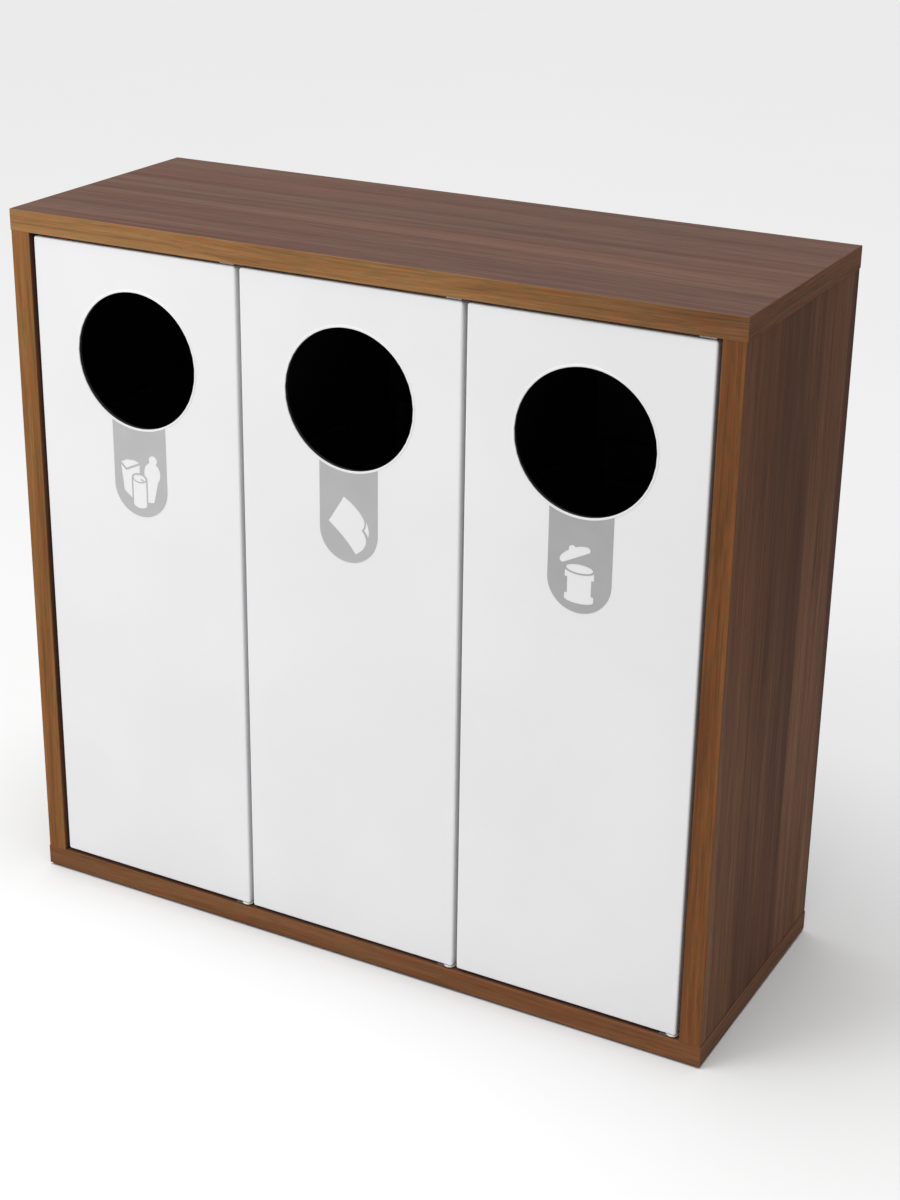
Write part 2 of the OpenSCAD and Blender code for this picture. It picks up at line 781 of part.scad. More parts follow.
// Two lugs inside each bin's side walls carry its bail
module bail_lugs() {
    color("#3a3c3f") for (i = [0:DOORS - 1], s = [-1, 1])
        translate([door_mid(i), bin_mid_y, bail_z]) mirror([s < 0 ? 1 : 0, 0, 0])
            translate([bin_w / 2 - bin_rim_w - bin_sheet - lug_t, 0, 0]) difference() {
                translate([0, -lug_w / 2, lug_up - lug_h]) cube([lug_t, lug_w, lug_h - bail_z + bin_z1]);
                translate([-1, 0, 0]) rotate([0, 90, 0]) cylinder(r = bail_wire_r + fit, h = lug_t + 2);
            }
}

// A wire bail that lies forward on the rim and swings up and over to the back
module bail(i) {
    lug_x = bin_w / 2 - bin_rim_w - bin_sheet - lug_t;
    color("#2a2c2e") translate([door_mid(i), bin_mid_y, bail_z]) {
        for (s = [-1, 1]) mirror([s < 0 ? 1 : 0, 0, 0]) {
            translate([lug_x - 1 - bail_head_l, 0, 0]) rotate([0, 90, 0]) {
                cylinder(r = bail_head_r, h = bail_head_l);
                cylinder(r = bail_wire_r, h = bail_x - lug_x + 1 + bail_head_l);
            }
            translate([bail_x, 0, 0]) sphere(bail_wire_r);
            translate([bail_x, 0, 0]) rotate([90, 0, 0])
                cylinder(r = bail_wire_r, h = bail_reach - bail_bend_r);
            translate([bail_x - bail_bend_r, -bail_reach + bail_bend_r, 0])
                rotate([0, 0, -90]) rotate_extrude(angle = 90)
                    translate([bail_bend_r, 0]) circle(bail_wire_r);
        }
        translate([-bail_x + bail_bend_r, -bail_reach, 0]) rotate([0, 90, 0])
            cylinder(r = bail_wire_r, h = 2 * (bail_x - bail_bend_r));
    }
}

// ---------- feet ----------

module foot_inserts() {
    color("#b9a66a") for (p = FOOT_PLACES) translate([p[0], p[1], z_base]) difference() {
        union() {
            cylinder(r = insert_flange_r, h = insert_flange_t);
            cylinder(r = insert_r, h = insert_l);
        }
        translate([0, 0, -1]) cylinder(r = stem_r + fit, h = insert_l + 2);
    }
}

module foot(k) {
    p = FOOT_PLACES[k];
    color("#1c1c1c") translate([p[0], p[1], 0]) {
        cylinder(r = foot_r, h = foot_gap - seat);
        cylinder(r = stem_r, h = foot_gap + stem_l);
    }
}

top_panel();
bottom_panel();
side_panel(0);  // left_side_panel
side_panel(1);  // right_side_panel
partition(0);  // left_partition
partition(1);  // right_partition
back_panel();
wide_edging(z_roof);  // top_front_edging
end_edgings(z_roof);  // top_end_edgings
wide_edging(z_base);  // bottom_front_edging
end_edgings(z_base);  // bottom_end_edgings
upright_edging(-1);  // left_front_edging
upright_edging(1);  // right_front_edging
partition_edgings();
wood_dowels();
cam_bolts();
cam_housings();
back_panel_screws();
hinge_plates(z_roof - plate_t, true);  // upper_hinge_plates
hinge_plates(z_floor, false);  // lower_hinge_plates
hinge_plate_screws();
lower_pivot_pins();
pivot_washers();
catch_housings();
catch_magnets();
catch_screws();
foot_inserts();
bail_lugs();
for (k = [0:3]) {
    foot(k);
}
for (i = [0:DOORS - 1]) {
    inner_bin(i);
    bail(i);
    door_pan(i);
    aperture_ring(i);
    label(i);
    pivot_blocks(i);
    upper_pin(i);
    block_screws(i);
    strike_plate(i);
}
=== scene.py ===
"""Looks for a three-part litter cabinet: walnut-finish boards, white steel doors, black inner bins.

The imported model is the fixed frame, in metres. Sizes and places come from the boxes of its nodes
and of their solids, and what the frame can't say is a named field of a class. New surfaces are
worked out with numpy in three ways: a profile carried round an outline, a profile turned about an
axis, and a circle carried along a path.
"""

import json
import logging
import math
from collections.abc import Mapping, Sequence
from dataclasses import dataclass, replace
from enum import Enum

import bpy
import numpy as np
from mathutils import Matrix, Vector


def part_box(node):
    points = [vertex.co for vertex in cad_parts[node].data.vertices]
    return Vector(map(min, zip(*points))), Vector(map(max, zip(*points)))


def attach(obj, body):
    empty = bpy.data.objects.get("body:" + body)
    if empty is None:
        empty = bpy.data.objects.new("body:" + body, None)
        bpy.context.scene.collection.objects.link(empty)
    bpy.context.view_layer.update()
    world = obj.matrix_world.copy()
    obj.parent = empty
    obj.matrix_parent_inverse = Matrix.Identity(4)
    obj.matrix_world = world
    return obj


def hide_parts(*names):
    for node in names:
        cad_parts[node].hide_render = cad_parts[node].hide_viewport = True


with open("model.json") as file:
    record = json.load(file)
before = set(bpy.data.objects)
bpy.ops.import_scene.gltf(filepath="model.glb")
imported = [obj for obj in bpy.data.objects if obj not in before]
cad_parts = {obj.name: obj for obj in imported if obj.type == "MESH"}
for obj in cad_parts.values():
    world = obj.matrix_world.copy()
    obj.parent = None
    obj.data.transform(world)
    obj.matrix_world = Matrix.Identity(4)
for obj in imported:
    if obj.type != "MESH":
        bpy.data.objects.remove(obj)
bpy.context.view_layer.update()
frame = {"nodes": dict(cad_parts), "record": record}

log = logging.getLogger("litter_cabinet")

MM = 0.001
SAME_POINT = 0.01 * MM
DOOR_NAMES = ("left", "middle", "right")
Array = np.ndarray
Colour = tuple[float, float, float]
Point = tuple[float, float, float]


# ---------------------------------------------------------------- shader graphs


class Sock:
    """A shader socket that takes part in arithmetic: each operator adds one Math node."""

    def __init__(self, graph: "Graph", socket: bpy.types.NodeSocket) -> None:
        """Wraps an output socket of one of the graph's nodes."""
        self.graph = graph
        self.socket = socket

    def _math(self, operation: str, first: "Sock | float", second: "Sock | float") -> "Sock":
        """Adds a Math node on two values."""
        return self.graph.node("ShaderNodeMath", {"operation": operation}, {0: first, 1: second})

    def __add__(self, other: "Sock | float") -> "Sock":
        """self + other."""
        return self._math("ADD", self, other)

    def __radd__(self, other: float) -> "Sock":
        """other + self."""
        return self._math("ADD", other, self)

    def __sub__(self, other: "Sock | float") -> "Sock":
        """self - other."""
        return self._math("SUBTRACT", self, other)

    def __rsub__(self, other: float) -> "Sock":
        """other - self."""
        return self._math("SUBTRACT", other, self)

    def __mul__(self, other: "Sock | float") -> "Sock":
        """self * other."""
        return self._math("MULTIPLY", self, other)

    def __rmul__(self, other: float) -> "Sock":
        """other * self."""
        return self._math("MULTIPLY", other, self)

    def above(self, limit: float) -> "Sock":
        """1 where the value is over the limit, and 0 elsewhere."""
        return self._math("GREATER_THAN", self, limit)

    def step(self, low: float, high: float) -> "Sock":
        """A smooth rise from 0 to 1.

        Args:
            low: the value up to which the result is 0.
            high: the value from which it is 1.

        Returns:
            The result, from 0 to 1.
        """
        settings = {"interpolation_type": "SMOOTHSTEP", "clamp": True}
        inputs = {"Value": self, "From Min": low, "From Max": high}
        return self.graph.node("ShaderNodeMapRange", settings, inputs)


class Graph:
    """The node tree of one material."""

    def __init__(self, name: str) -> None:
        """Makes an empty material.

        Args:
            name: the material's name.
        """
        self.material = bpy.data.materials.new(name)
        self.material.use_nodes = True
        self.tree = self.material.node_tree
        self.tree.nodes.clear()

    def node(
        self,
        kind: str,
        settings: Mapping[str, object],
        inputs: Mapping[str | int, object],
        output: str | int = 0,
    ) -> Sock:
        """Adds any node.

        Args:
            kind: the node's type name.
            settings: its properties, set before its sockets; "stops" are a ramp's stops.
            inputs: a value or a Sock for each socket, by name or place.
            output: which output to return.

        Returns:
            The chosen output.
        """
        node = self.tree.nodes.new(kind)
        for key, value in settings.items():
            if key == "stops":
                self._set_stops(node, value)
            else:
                setattr(node, key, value)
        for key, value in inputs.items():
            if isinstance(value, Sock):
                self.tree.links.new(value.socket, node.inputs[key])
            else:
                node.inputs[key].default_value = value
        return Sock(self, node.outputs[output])

    @staticmethod
    def _set_stops(node: bpy.types.Node, stops: Sequence[tuple[float, Colour]]) -> None:
        """Gives a colour ramp its stops.

        Args:
            node: the ramp's node.
            stops: a place and a colour for each stop.
        """
        elements = node.color_ramp.elements
        while len(elements) < len(stops):
            elements.new(1.0)
        for element, (place, colour) in zip(elements, stops):
            element.position = place
            element.color = (*colour, 1.0)

    def place(self, turn: Point = (0.0, 0.0, 0.0), shift: Point = (0.0, 0.0, 0.0)) -> Sock:
        """The point on the object, turned and shifted for a pattern.

        Args:
            turn: the turn about each axis, in radians.
            shift: the shift that follows it, in metres.

        Returns:
            The point, as a vector.
        """
        here = self.node("ShaderNodeTexCoord", {}, {}, "Object")
        inputs = {"Vector": here, "Rotation": turn, "Location": shift}
        return self.node("ShaderNodeMapping", {}, inputs)

    def scaled(self, vector: Sock, scale: Point) -> Sock:
        """A vector times a scale for each axis."""
        return self.node("ShaderNodeVectorMath", {"operation": "MULTIPLY"}, {0: vector, 1: scale})

    def moved(self, vector: Sock, other: Sock) -> Sock:
        """The sum of two vectors."""
        return self.node("ShaderNodeVectorMath", {"operation": "ADD"}, {0: vector, 1: other})

    def noise(self, vector: Sock, scale: float, detail: float = 3.0, rough: float = 0.5) -> Sock:
        """Noise from 0 to 1, at so many waves a metre."""
        inputs = {"Vector": vector, "Scale": scale, "Detail": detail, "Roughness": rough}
        return self.node("ShaderNodeTexNoise", {}, inputs)

    def mix(self, first: object, second: object, factor: Sock | float, how: str = "MIX") -> Sock:
        """Two colours mixed by a factor.

        Args:
            first: the colour where the factor is 0, as a tuple or a Sock.
            second: the colour that is laid over it.
            factor: how much of the second.
            how: the Mix node's blend type.

        Returns:
            The mixed colour.
        """
        settings = {"data_type": "RGBA", "blend_type": how}
        pair = [(*c, 1.0) if isinstance(c, tuple) else c for c in (first, second)]
        return self.node("ShaderNodeMix", settings, {0: factor, 6: pair[0], 7: pair[1]}, 2)

    def ramp(self, factor: Sock, stops: Sequence[tuple[float, Colour]]) -> Sock:
        """A colour ramp over a factor."""
        return self.node("ShaderNodeValToRGB", {"stops": stops}, {"Fac": factor})

    def edge(self) -> Sock:
        """How far a rounded corner has turned: 0 on a flat face, 1 halfway round a corner."""
        return self.node("ShaderNodeAttribute", {"attribute_name": "edge"}, {}, "Fac")

    def within(self, low: Point, high: Point) -> Sock:
        """A mask of a box in the object's own axes.

        Args:
            low: the box's lowest corner.
            high: its highest corner.

        Returns:
            1 inside the box and 0 outside it.
        """
        axes = self.node("ShaderNodeSeparateXYZ", {}, {0: self.place()})
        mask: Sock | float = 1.0
        for k in range(3):
            along = Sock(self, axes.socket.node.outputs[k])
            mask = (along.above(low[k]) - along.above(high[k])) * mask
        return mask

    def along(self, grain: "Grain") -> Sock:
        """How far along the grain's own axis a point lies."""
        return self.node("ShaderNodeSeparateXYZ", {}, {0: self.place()}, grain.axis)

    def bump(self, height: Sock, strength: float, depth: float) -> Sock:
        """A bump from a height, depth in metres."""
        inputs = {"Strength": strength, "Distance": depth, "Height": height}
        return self.node("ShaderNodeBump", {}, inputs, "Normal")

    def finish(self, inputs: Mapping[str, object]) -> bpy.types.Material:
        """Closes the tree with a Principled shader.

        Args:
            inputs: a value or a Sock for each of the shader's sockets that is set.

        Returns:
            The finished material.
        """
        values = {k: (*v, 1.0) if k == "Base Color" and isinstance(v, tuple) else v
                  for k, v in inputs.items()}
        shader = self.node("ShaderNodeBsdfPrincipled", {}, values)
        output = self.tree.nodes.new("ShaderNodeOutputMaterial")
        self.tree.links.new(shader.socket, output.inputs["Surface"])
        return self.material


# ---------------------------------------------------------------- finishes

EVEN: Colour = (1.0, 1.0, 1.0)

# Waves a metre along and across the grain, for each layer of the wood's figure. Bands and
# heartwood have theirs across it in the finish, and streaks have so many for each band.
BEND_WAVES: Point = (1.6, 5.0, 5.0)
BAND_WAVES = 0.8
STREAK_WAVES = (2.2, 5.5)
HAIR_WAVES: Point = (9.0, 520.0, 520.0)
FLECK_WAVES: Point = (38.0, 340.0, 340.0)
PORE_WAVES: Point = (30.0, 1300.0, 1300.0)
HEART_WAVES = 0.7
TONE_WAVES: Point = (1.2, 11.0, 11.0)

# Where in the figure a board is cut from, for each metre of its cut
CUT_SHIFT: Point = (1.0, 0.37, 0.61)

# How far the grain bends sideways, and what bands, streaks and hairs each add to the figure
BEND = 0.03
BAND_SHARE, STREAK_SHARE, HAIR_SHARE = 0.44, 0.26, 0.30
DARK_AT, MIDDLE_AT, PALE_AT = 0.41, 0.50, 0.585

# Tints laid over the figure: the warm and dull flecks, and the slow drift of tone
WARM_FLECK: Colour = (1.13, 0.93, 0.86)
DULL_FLECK: Colour = (0.90, 0.93, 0.90)
RED_TONE: Colour = (1.03, 0.985, 0.98)
GREEN_TONE: Colour = (0.97, 1.01, 1.00)
PORE_STAIN = 0.45
PORE_RELIEF, PORE_DEPTH = 0.22, 0.15 * MM
HAIR_RELIEF = 0.3


def dimmed(colour: Colour, share: float) -> Colour:
    """The colour times a share, for the darker end of a finish's cloud."""
    return tuple(c * share for c in colour)


class Grain(Enum):
    """The axis that a board's grain runs along, as the turn that lays it on the pattern's X."""

    ALONG_X = (0.0, 0.0, 0.0)
    ALONG_Y = (0.0, 0.0, -math.pi / 2)
    ALONG_Z = (0.0, math.pi / 2, 0.0)

    @property
    def axis(self) -> int:
        """The axis that the grain runs along, as its place in X, Y, Z."""
        return list(Grain).index(self)


@dataclass(frozen=True)
class Walnut:
    """Printed walnut grain under matt melamine, with fine pores pressed in along the grain."""

    name: str
    grain: Grain
    pale: Colour
    middle: Colour
    dark: Colour
    cut: float = 0.0
    bands: float = 26.0
    heart: float = 13.0
    heartwood: Colour = EVEN
    fleck: float = 1.0
    # painted falloff: a colour that multiplies the wood more and more from one end to the other,
    # painted light and shade
    painted_falloff: Colour = EVEN
    painted_falloff_over: tuple[float, float] = (-0.45, 0.45)
    roughness: float = 0.5
    gloss: float = 0.01
    # painted highlight: how far rounded corners lean to the pale colour
    painted_edge_highlight: float = 0.25
    # painted shade: inside this box the boards take the near-black colour below, for the dark inside
    # of the cabinet
    inside: tuple[Point, Point] | None = None
    painted_shade_colour: Colour = (0.008, 0.008, 0.008)

    def material(self) -> bpy.types.Material:
        """Broad bands, narrow streaks and short pores, each noise drawn out along the grain.

        The figure is the weighted sum of bands, streaks and hairs, and a ramp turns it into the
        dark, middle and pale colours. Flecks, heartwood and a slow tone multiply it, and a painted
        falloff of light and shade multiplies it from one end to the other; pores darken it, rounded
        corners lean to the pale colour as a painted highlight, and inside a given box the board is
        painted near-black as painted shade.

        Returns:
            The wood's material.
        """
        g = Graph(self.name)
        here = g.place(self.grain.value, tuple(self.cut * shift for shift in CUT_SHIFT))
        wander = (g.noise(g.scaled(here, BEND_WAVES), 1.0, 2.0) - 0.5) * BEND
        sway = g.node("ShaderNodeCombineXYZ", {}, {"Y": wander, "Z": wander})
        here = g.moved(here, sway)
        wide, narrow = self.bands, STREAK_WAVES[1] * self.bands
        bands = g.noise(g.scaled(here, (BAND_WAVES, wide, wide)), 1.0, 3.0, 0.55)
        streaks = g.noise(g.scaled(here, (STREAK_WAVES[0], narrow, narrow)), 1.0, 4.0, 0.6)
        hairs = g.noise(g.scaled(here, HAIR_WAVES), 1.0, 3.0, 0.6)
        flecks = g.noise(g.scaled(here, FLECK_WAVES), 1.0, 2.0)
        pores = g.noise(g.scaled(here, PORE_WAVES), 1.0, 1.0).step(0.56, 0.70)
        figure = bands * BAND_SHARE + streaks * STREAK_SHARE + hairs * HAIR_SHARE
        stops = [(DARK_AT, self.dark), (MIDDLE_AT, self.middle), (PALE_AT, self.pale)]
        colour = g.ramp(figure, stops)
        colour = g.mix(colour, WARM_FLECK, flecks.step(0.50, 0.62) * self.fleck, "MULTIPLY")
        hollow = (1.0 - flecks.step(0.36, 0.50)) * self.fleck
        colour = g.mix(colour, DULL_FLECK, hollow, "MULTIPLY")
        heart = g.noise(g.scaled(here, (HEART_WAVES, self.heart, self.heart)), 1.0, 2.0, 0.4)
        colour = g.mix(colour, self.heartwood, heart.step(0.53, 0.60), "MULTIPLY")
        tone = g.noise(g.scaled(here, TONE_WAVES), 1.0, 2.0, 0.5)
        colour = g.mix(colour, RED_TONE, tone.step(0.50, 0.66), "MULTIPLY")
        colour = g.mix(colour, GREEN_TONE, 1.0 - tone.step(0.36, 0.50), "MULTIPLY")
        colour = g.mix(colour, self.dark, pores * PORE_STAIN)
        # Painted light and shade: the colour falls off from one end of the board to the other.
        if self.painted_falloff != EVEN:
            along = g.along(self.grain).step(*self.painted_falloff_over)
            colour = g.mix(colour, self.painted_falloff, along, "MULTIPLY")
        # Painted highlight: rounded corners lean to the pale colour.
        colour = g.mix(colour, self.pale, g.edge() * self.painted_edge_highlight)
        # Painted shade: near-black on the boards inside the cabinet.
        if self.inside is not None:
            colour = g.mix(colour, self.painted_shade_colour, g.within(*self.inside))
        relief = hairs * HAIR_RELIEF - pores
        return g.finish({
            "Base Color": colour,
            "Roughness": self.roughness + (streaks - 0.5) * 0.12 + pores * 0.12,
            "Normal": g.bump(relief, PORE_RELIEF, PORE_DEPTH),
            "Specular IOR Level": self.gloss,
        })


@dataclass(frozen=True)
class PowderCoat:
    """Baked powder paint: a fine orange peel over an even colour."""

    name: str
    colour: Colour
    roughness: float = 0.36
    peel: float = 0.10
    rubbed: Colour | None = None
    dim: float = 0.965
    cloud_waves: float = 5.0
    peel_waves: float = 620.0
    fine_waves: float = 2600.0
    chip_waves: float = 160.0
    depth: float = 0.1 * MM

    def material(self) -> bpy.types.Material:
        """An even colour with a faint cloud in it, a fine peel and, if asked, rubbed corners.

        Returns:
            The finish's material.
        """
        g = Graph(self.name)
        here = g.place()
        cloud = g.noise(here, self.cloud_waves, 3.0)
        peel = g.noise(here, self.peel_waves, 2.0, 0.45)
        fine = g.noise(here, self.fine_waves, 1.0)
        colour = g.mix(dimmed(self.colour, self.dim), self.colour, cloud.step(0.3, 0.7))
        if self.rubbed is not None:
            chips = g.noise(here, self.chip_waves, 3.0).step(0.52, 0.68)
            colour = g.mix(colour, self.rubbed, g.edge() * chips * 0.5)
        return g.finish({
            "Base Color": colour,
            "Roughness": self.roughness + (peel - 0.5) * 0.10 + (cloud - 0.5) * 0.05,
            "Normal": g.bump(peel * 0.7 + fine * 0.3, self.peel, self.depth),
        })


@dataclass(frozen=True)
class Moulded:
    """Injection-moulded plastic: an even colour with a fine spark-eroded grain."""

    name: str
    colour: Colour
    roughness: float = 0.45
    grain: float = 0.12
    see_in: float = 0.0
    see_in_depth: float = 2.0 * MM
    dim: float = 0.93
    flow_waves: float = 28.0
    flow_stretch: Point = (1.0, 1.0, 3.0)
    skin_waves: float = 1900.0
    depth: float = 0.08 * MM

    def material(self) -> bpy.types.Material:
        """Flow marks in the colour and a fine grain on the skin.

        Returns:
            The finish's material.
        """
        g = Graph(self.name)
        here = g.place()
        flow = g.noise(g.scaled(here, self.flow_stretch), self.flow_waves, 3.0)
        skin = g.noise(here, self.skin_waves, 2.0)
        low = dimmed(self.colour, self.dim)
        return g.finish({
            "Base Color": g.mix(low, self.colour, flow.step(0.25, 0.7)),
            "Roughness": self.roughness + (skin - 0.5) * 0.12,
            "Normal": g.bump(skin, self.grain, self.depth),
            "Subsurface Weight": self.see_in,
            "Subsurface Scale": self.see_in_depth,
        })


@dataclass(frozen=True)
class Metal:
    """Plated, cast or turned metal."""

    name: str
    colour: Colour
    roughness: float = 0.32
    spangle: float = 0.10
    dim: float = 0.78
    cloud_waves: float = 90.0
    mark_waves: float = 1400.0
    depth: float = 0.06 * MM

    def material(self) -> bpy.types.Material:
        """Cloudy plating over fine tool marks, duller in the patches.

        Returns:
            The finish's material.
        """
        g = Graph(self.name)
        here = g.place()
        cloud = g.noise(here, self.cloud_waves, 4.0, 0.6)
        marks = g.noise(here, self.mark_waves, 3.0, 0.65)
        low = dimmed(self.colour, self.dim)
        return g.finish({
            "Base Color": g.mix(low, self.colour, cloud.step(0.3, 0.7)),
            "Metallic": 1.0,
            "Roughness": self.roughness + (cloud - 0.5) * 0.2 + (marks - 0.5) * 0.1,
            "Normal": g.bump(marks, self.spangle, self.depth),
        })


@dataclass(frozen=True)
class Film:
    """Matt self-adhesive film with a fine leather-like skin."""

    name: str
    colour: Colour
    roughness: float = 0.5
    dim: float = 0.95
    cloud_waves: float = 30.0
    skin_waves: float = 2400.0
    grain: float = 0.06
    depth: float = 0.05 * MM

    def material(self) -> bpy.types.Material:
        """An even grey with a faint cloud and a fine skin.

        Returns:
            The finish's material.
        """
        g = Graph(self.name)
        here = g.place()
        cloud = g.noise(here, self.cloud_waves, 3.0)
        skin = g.noise(here, self.skin_waves, 2.0)
        low = dimmed(self.colour, self.dim)
        return g.finish({
            "Base Color": g.mix(low, self.colour, cloud.step(0.3, 0.7)),
            "Roughness": self.roughness + (skin - 0.5) * 0.1,
            "Normal": g.bump(skin, self.grain, self.depth),
        })


@dataclass(frozen=True)
class Fibreboard:
    """Painted hardboard: pressed fibres that show faintly through the coat."""

    name: str
    colour: Colour
    fibre: Colour
    roughness: float = 0.62
    upright_waves: Point = (300.0, 300.0, 60.0)
    level_waves: Point = (60.0, 300.0, 300.0)
    cloud_waves: float = 9.0
    relief: float = 0.25
    depth: float = 0.1 * MM

    def material(self) -> bpy.types.Material:
        """Short fibres: the product of two noises drawn out across each other.

        Returns:
            The finish's material.
        """
        g = Graph(self.name)
        here = g.place()
        one = g.noise(g.scaled(here, self.upright_waves), 1.0, 4.0, 0.7)
        two = g.noise(g.scaled(here, self.level_waves), 1.0, 4.0, 0.7)
        cloud = g.noise(here, self.cloud_waves, 3.0)
        fibres = (one * two).step(0.26, 0.40)
        colour = g.mix(self.colour, self.fibre, fibres * 0.55 + (cloud - 0.5) * 0.3)
        return g.finish({
            "Base Color": colour,
            "Roughness": self.roughness + (one - 0.5) * 0.15,
            "Normal": g.bump(one + two, self.relief, self.depth),
        })


Finish = Walnut | PowderCoat | Moulded | Metal | Film | Fibreboard

# The top board's palette: its purple-brown print with a whitish painted sheen mixed into the colour.
TOP_PRINT_WITH_PAINTED_SHEEN = {"pale": (0.151, 0.091, 0.070), "middle": (0.125, 0.074, 0.059), "dark": (0.096, 0.057, 0.047)}
FACE = {"pale": (0.158, 0.075, 0.042), "middle": (0.111, 0.052, 0.030), "dark": (0.073, 0.034, 0.021)}
# A lighter copy of the face palette: painted light, where light bounces up from the floor.
FACE_WITH_PAINTED_LIGHT = {"pale": (0.200, 0.102, 0.060), "middle": (0.146, 0.072, 0.043), "dark": (0.100, 0.049, 0.031)}
# The four front strips are one edging; their palettes are copies of it, painted lighter at the top and
# left and darker at the bottom and right, as painted light and shade.
EDGING_TOP_PAINTED_LIGHT = {"pale": (0.330, 0.182, 0.078), "middle": (0.264, 0.139, 0.056), "dark": (0.190, 0.094, 0.040)}
EDGING_LEFT_PAINTED_LIGHT = {"pale": (0.275, 0.134, 0.052), "middle": (0.223, 0.103, 0.037), "dark": (0.160, 0.070, 0.027)}
EDGING_BOTTOM_PAINTED_SHADE = {"pale": (0.200, 0.094, 0.044), "middle": (0.161, 0.071, 0.032), "dark": (0.115, 0.051, 0.025)}
EDGING_RIGHT_PAINTED_SHADE = {"pale": (0.214, 0.095, 0.038), "middle": (0.172, 0.073, 0.028), "dark": (0.121, 0.050, 0.021)}

# Painted shade: the top board darkens slightly towards its right end.
BOARD_TOP = Walnut("walnut_top", Grain.ALONG_X, cut=0.37, bands=34.0, fleck=0.4,
                   painted_falloff=(0.96, 0.96, 0.96), **TOP_PRINT_WITH_PAINTED_SHEEN)
BOARD_BOTTOM = Walnut("walnut_bottom", Grain.ALONG_X, cut=3.91, fleck=0.5, **FACE)
BOARD_LEFT = Walnut("walnut_left", Grain.ALONG_Z, cut=1.73, bands=20.0, fleck=0.5,
                    heartwood=(0.72, 0.70, 0.78), **FACE)
# Painted light on the right side board: the lighter palette below, darkened towards the top by the
# painted falloff.
BOARD_RIGHT = Walnut("walnut_right", Grain.ALONG_Z, cut=2.29, bands=20.0, fleck=0.5,
                     heartwood=(0.68, 0.66, 0.74), painted_falloff=(0.75, 0.69, 0.67),
                     painted_falloff_over=(0.25, 0.68), **FACE_WITH_PAINTED_LIGHT)
# Painted shade: the top front strip darkens towards its right end.
BAND_TOP = Walnut("walnut_edging_top", Grain.ALONG_X, cut=5.2, painted_falloff=(0.62, 0.60, 0.68),
                  painted_falloff_over=(0.08, 0.45), painted_edge_highlight=0.5, **EDGING_TOP_PAINTED_LIGHT)
BAND_BOTTOM = Walnut("walnut_edging_bottom", Grain.ALONG_X, cut=5.9, painted_edge_highlight=0.5, **EDGING_BOTTOM_PAINTED_SHADE)
BAND_LEFT = Walnut("walnut_edging_left", Grain.ALONG_Z, cut=6.1, painted_edge_highlight=0.5, **EDGING_LEFT_PAINTED_LIGHT)
BAND_RIGHT = Walnut("walnut_edging_right", Grain.ALONG_Z, cut=6.8, painted_edge_highlight=0.5, **EDGING_RIGHT_PAINTED_SHADE)
BAND_TOP_ENDS = Walnut("walnut_edging_top_ends", Grain.ALONG_Y, cut=7.7, fleck=0.5,
                       painted_edge_highlight=0.5, **FACE)
# Painted light: the bottom end strips take the lighter palette.
BAND_BOTTOM_ENDS = Walnut("walnut_edging_bottom_ends", Grain.ALONG_Y, cut=8.3, fleck=0.5,
                          painted_edge_highlight=0.5, **FACE_WITH_PAINTED_LIGHT)
WHITE_COAT = PowderCoat("white_powder_coat", (0.777, 0.775, 0.784))
BLACK_COAT = PowderCoat("black_powder_coat", (0.012, 0.012, 0.013), 0.5, 0.2, (0.10, 0.10, 0.10))
BLACK_BOARD = Fibreboard("black_board", (0.010, 0.010, 0.010), (0.022, 0.021, 0.020))
BLACK_HARDBOARD = Fibreboard("black_hardboard", (0.012, 0.012, 0.012), (0.035, 0.033, 0.031))
BEECH = Walnut("beech", Grain.ALONG_Z, (0.62, 0.42, 0.24), (0.52, 0.33, 0.17), (0.40, 0.24, 0.12))
ZINC = Metal("zinc_plate", (0.66, 0.67, 0.67))
# Zinc made duller and darker; the darker colour is painted shade for the door gaps where these parts
# sit.
DULL_ZINC_WITH_PAINTED_SHADE = Metal("dull_zinc_plate_painted_shade", (0.34, 0.34, 0.35), 0.5)
ZINC_CAST = Metal("zinc_casting", (0.48, 0.48, 0.47), 0.45, 0.2)
BRASS = Metal("brass", (0.72, 0.52, 0.22), 0.3)
FERRITE = Metal("ferrite", (0.09, 0.09, 0.10), 0.5, 0.25)
WHITE_PLASTIC = Moulded("white_plastic", (0.84, 0.84, 0.83), 0.38)
BLACK_PLASTIC = Moulded("black_plastic", (0.020, 0.020, 0.020), 0.5)
GREY_NYLON = Moulded("grey_nylon", (0.10, 0.105, 0.11), 0.5)
NATURAL_NYLON = Moulded("natural_nylon", (0.72, 0.70, 0.62), 0.42, 0.1, 0.15)
# The three labels are one grey film, painted darker from left to right as painted shade.
LABEL_FILMS_WITH_PAINTED_FALLOFF = (
    Film("grey_film_left", (0.445, 0.445, 0.450)),
    Film("grey_film_middle_painted_shade", (0.416, 0.416, 0.419)),
    Film("grey_film_right_painted_shade", (0.368, 0.366, 0.368)),
)


# ---------------------------------------------------------------- surfaces


@dataclass
class Surface:
    """Points with their normals, the quads of a grid over them, and flat caps."""

    points: Array
    normals: Array
    quads: Array
    caps: list[list[int]]

    def __add__(self, other: "Surface") -> "Surface":
        """Two surfaces as one, still separate shells.

        Args:
            other: the surface that follows this one.

        Returns:
            One surface with the points, quads and caps of both.
        """
        shift = len(self.points)
        return Surface(
            np.concatenate([self.points, other.points]),
            np.concatenate([self.normals, other.normals]),
            np.concatenate([self.quads, other.quads + shift]),
            self.caps + [[i + shift for i in cap] for cap in other.caps],
        )


def together(surfaces: Sequence[Surface]) -> Surface:
    """Several shells as one surface.

    Args:
        surfaces: the shells, at least one.

    Returns:
        One surface that holds them all, still separate.
    """
    whole = surfaces[0]
    for part in surfaces[1:]:
        whole = whole + part
    return whole


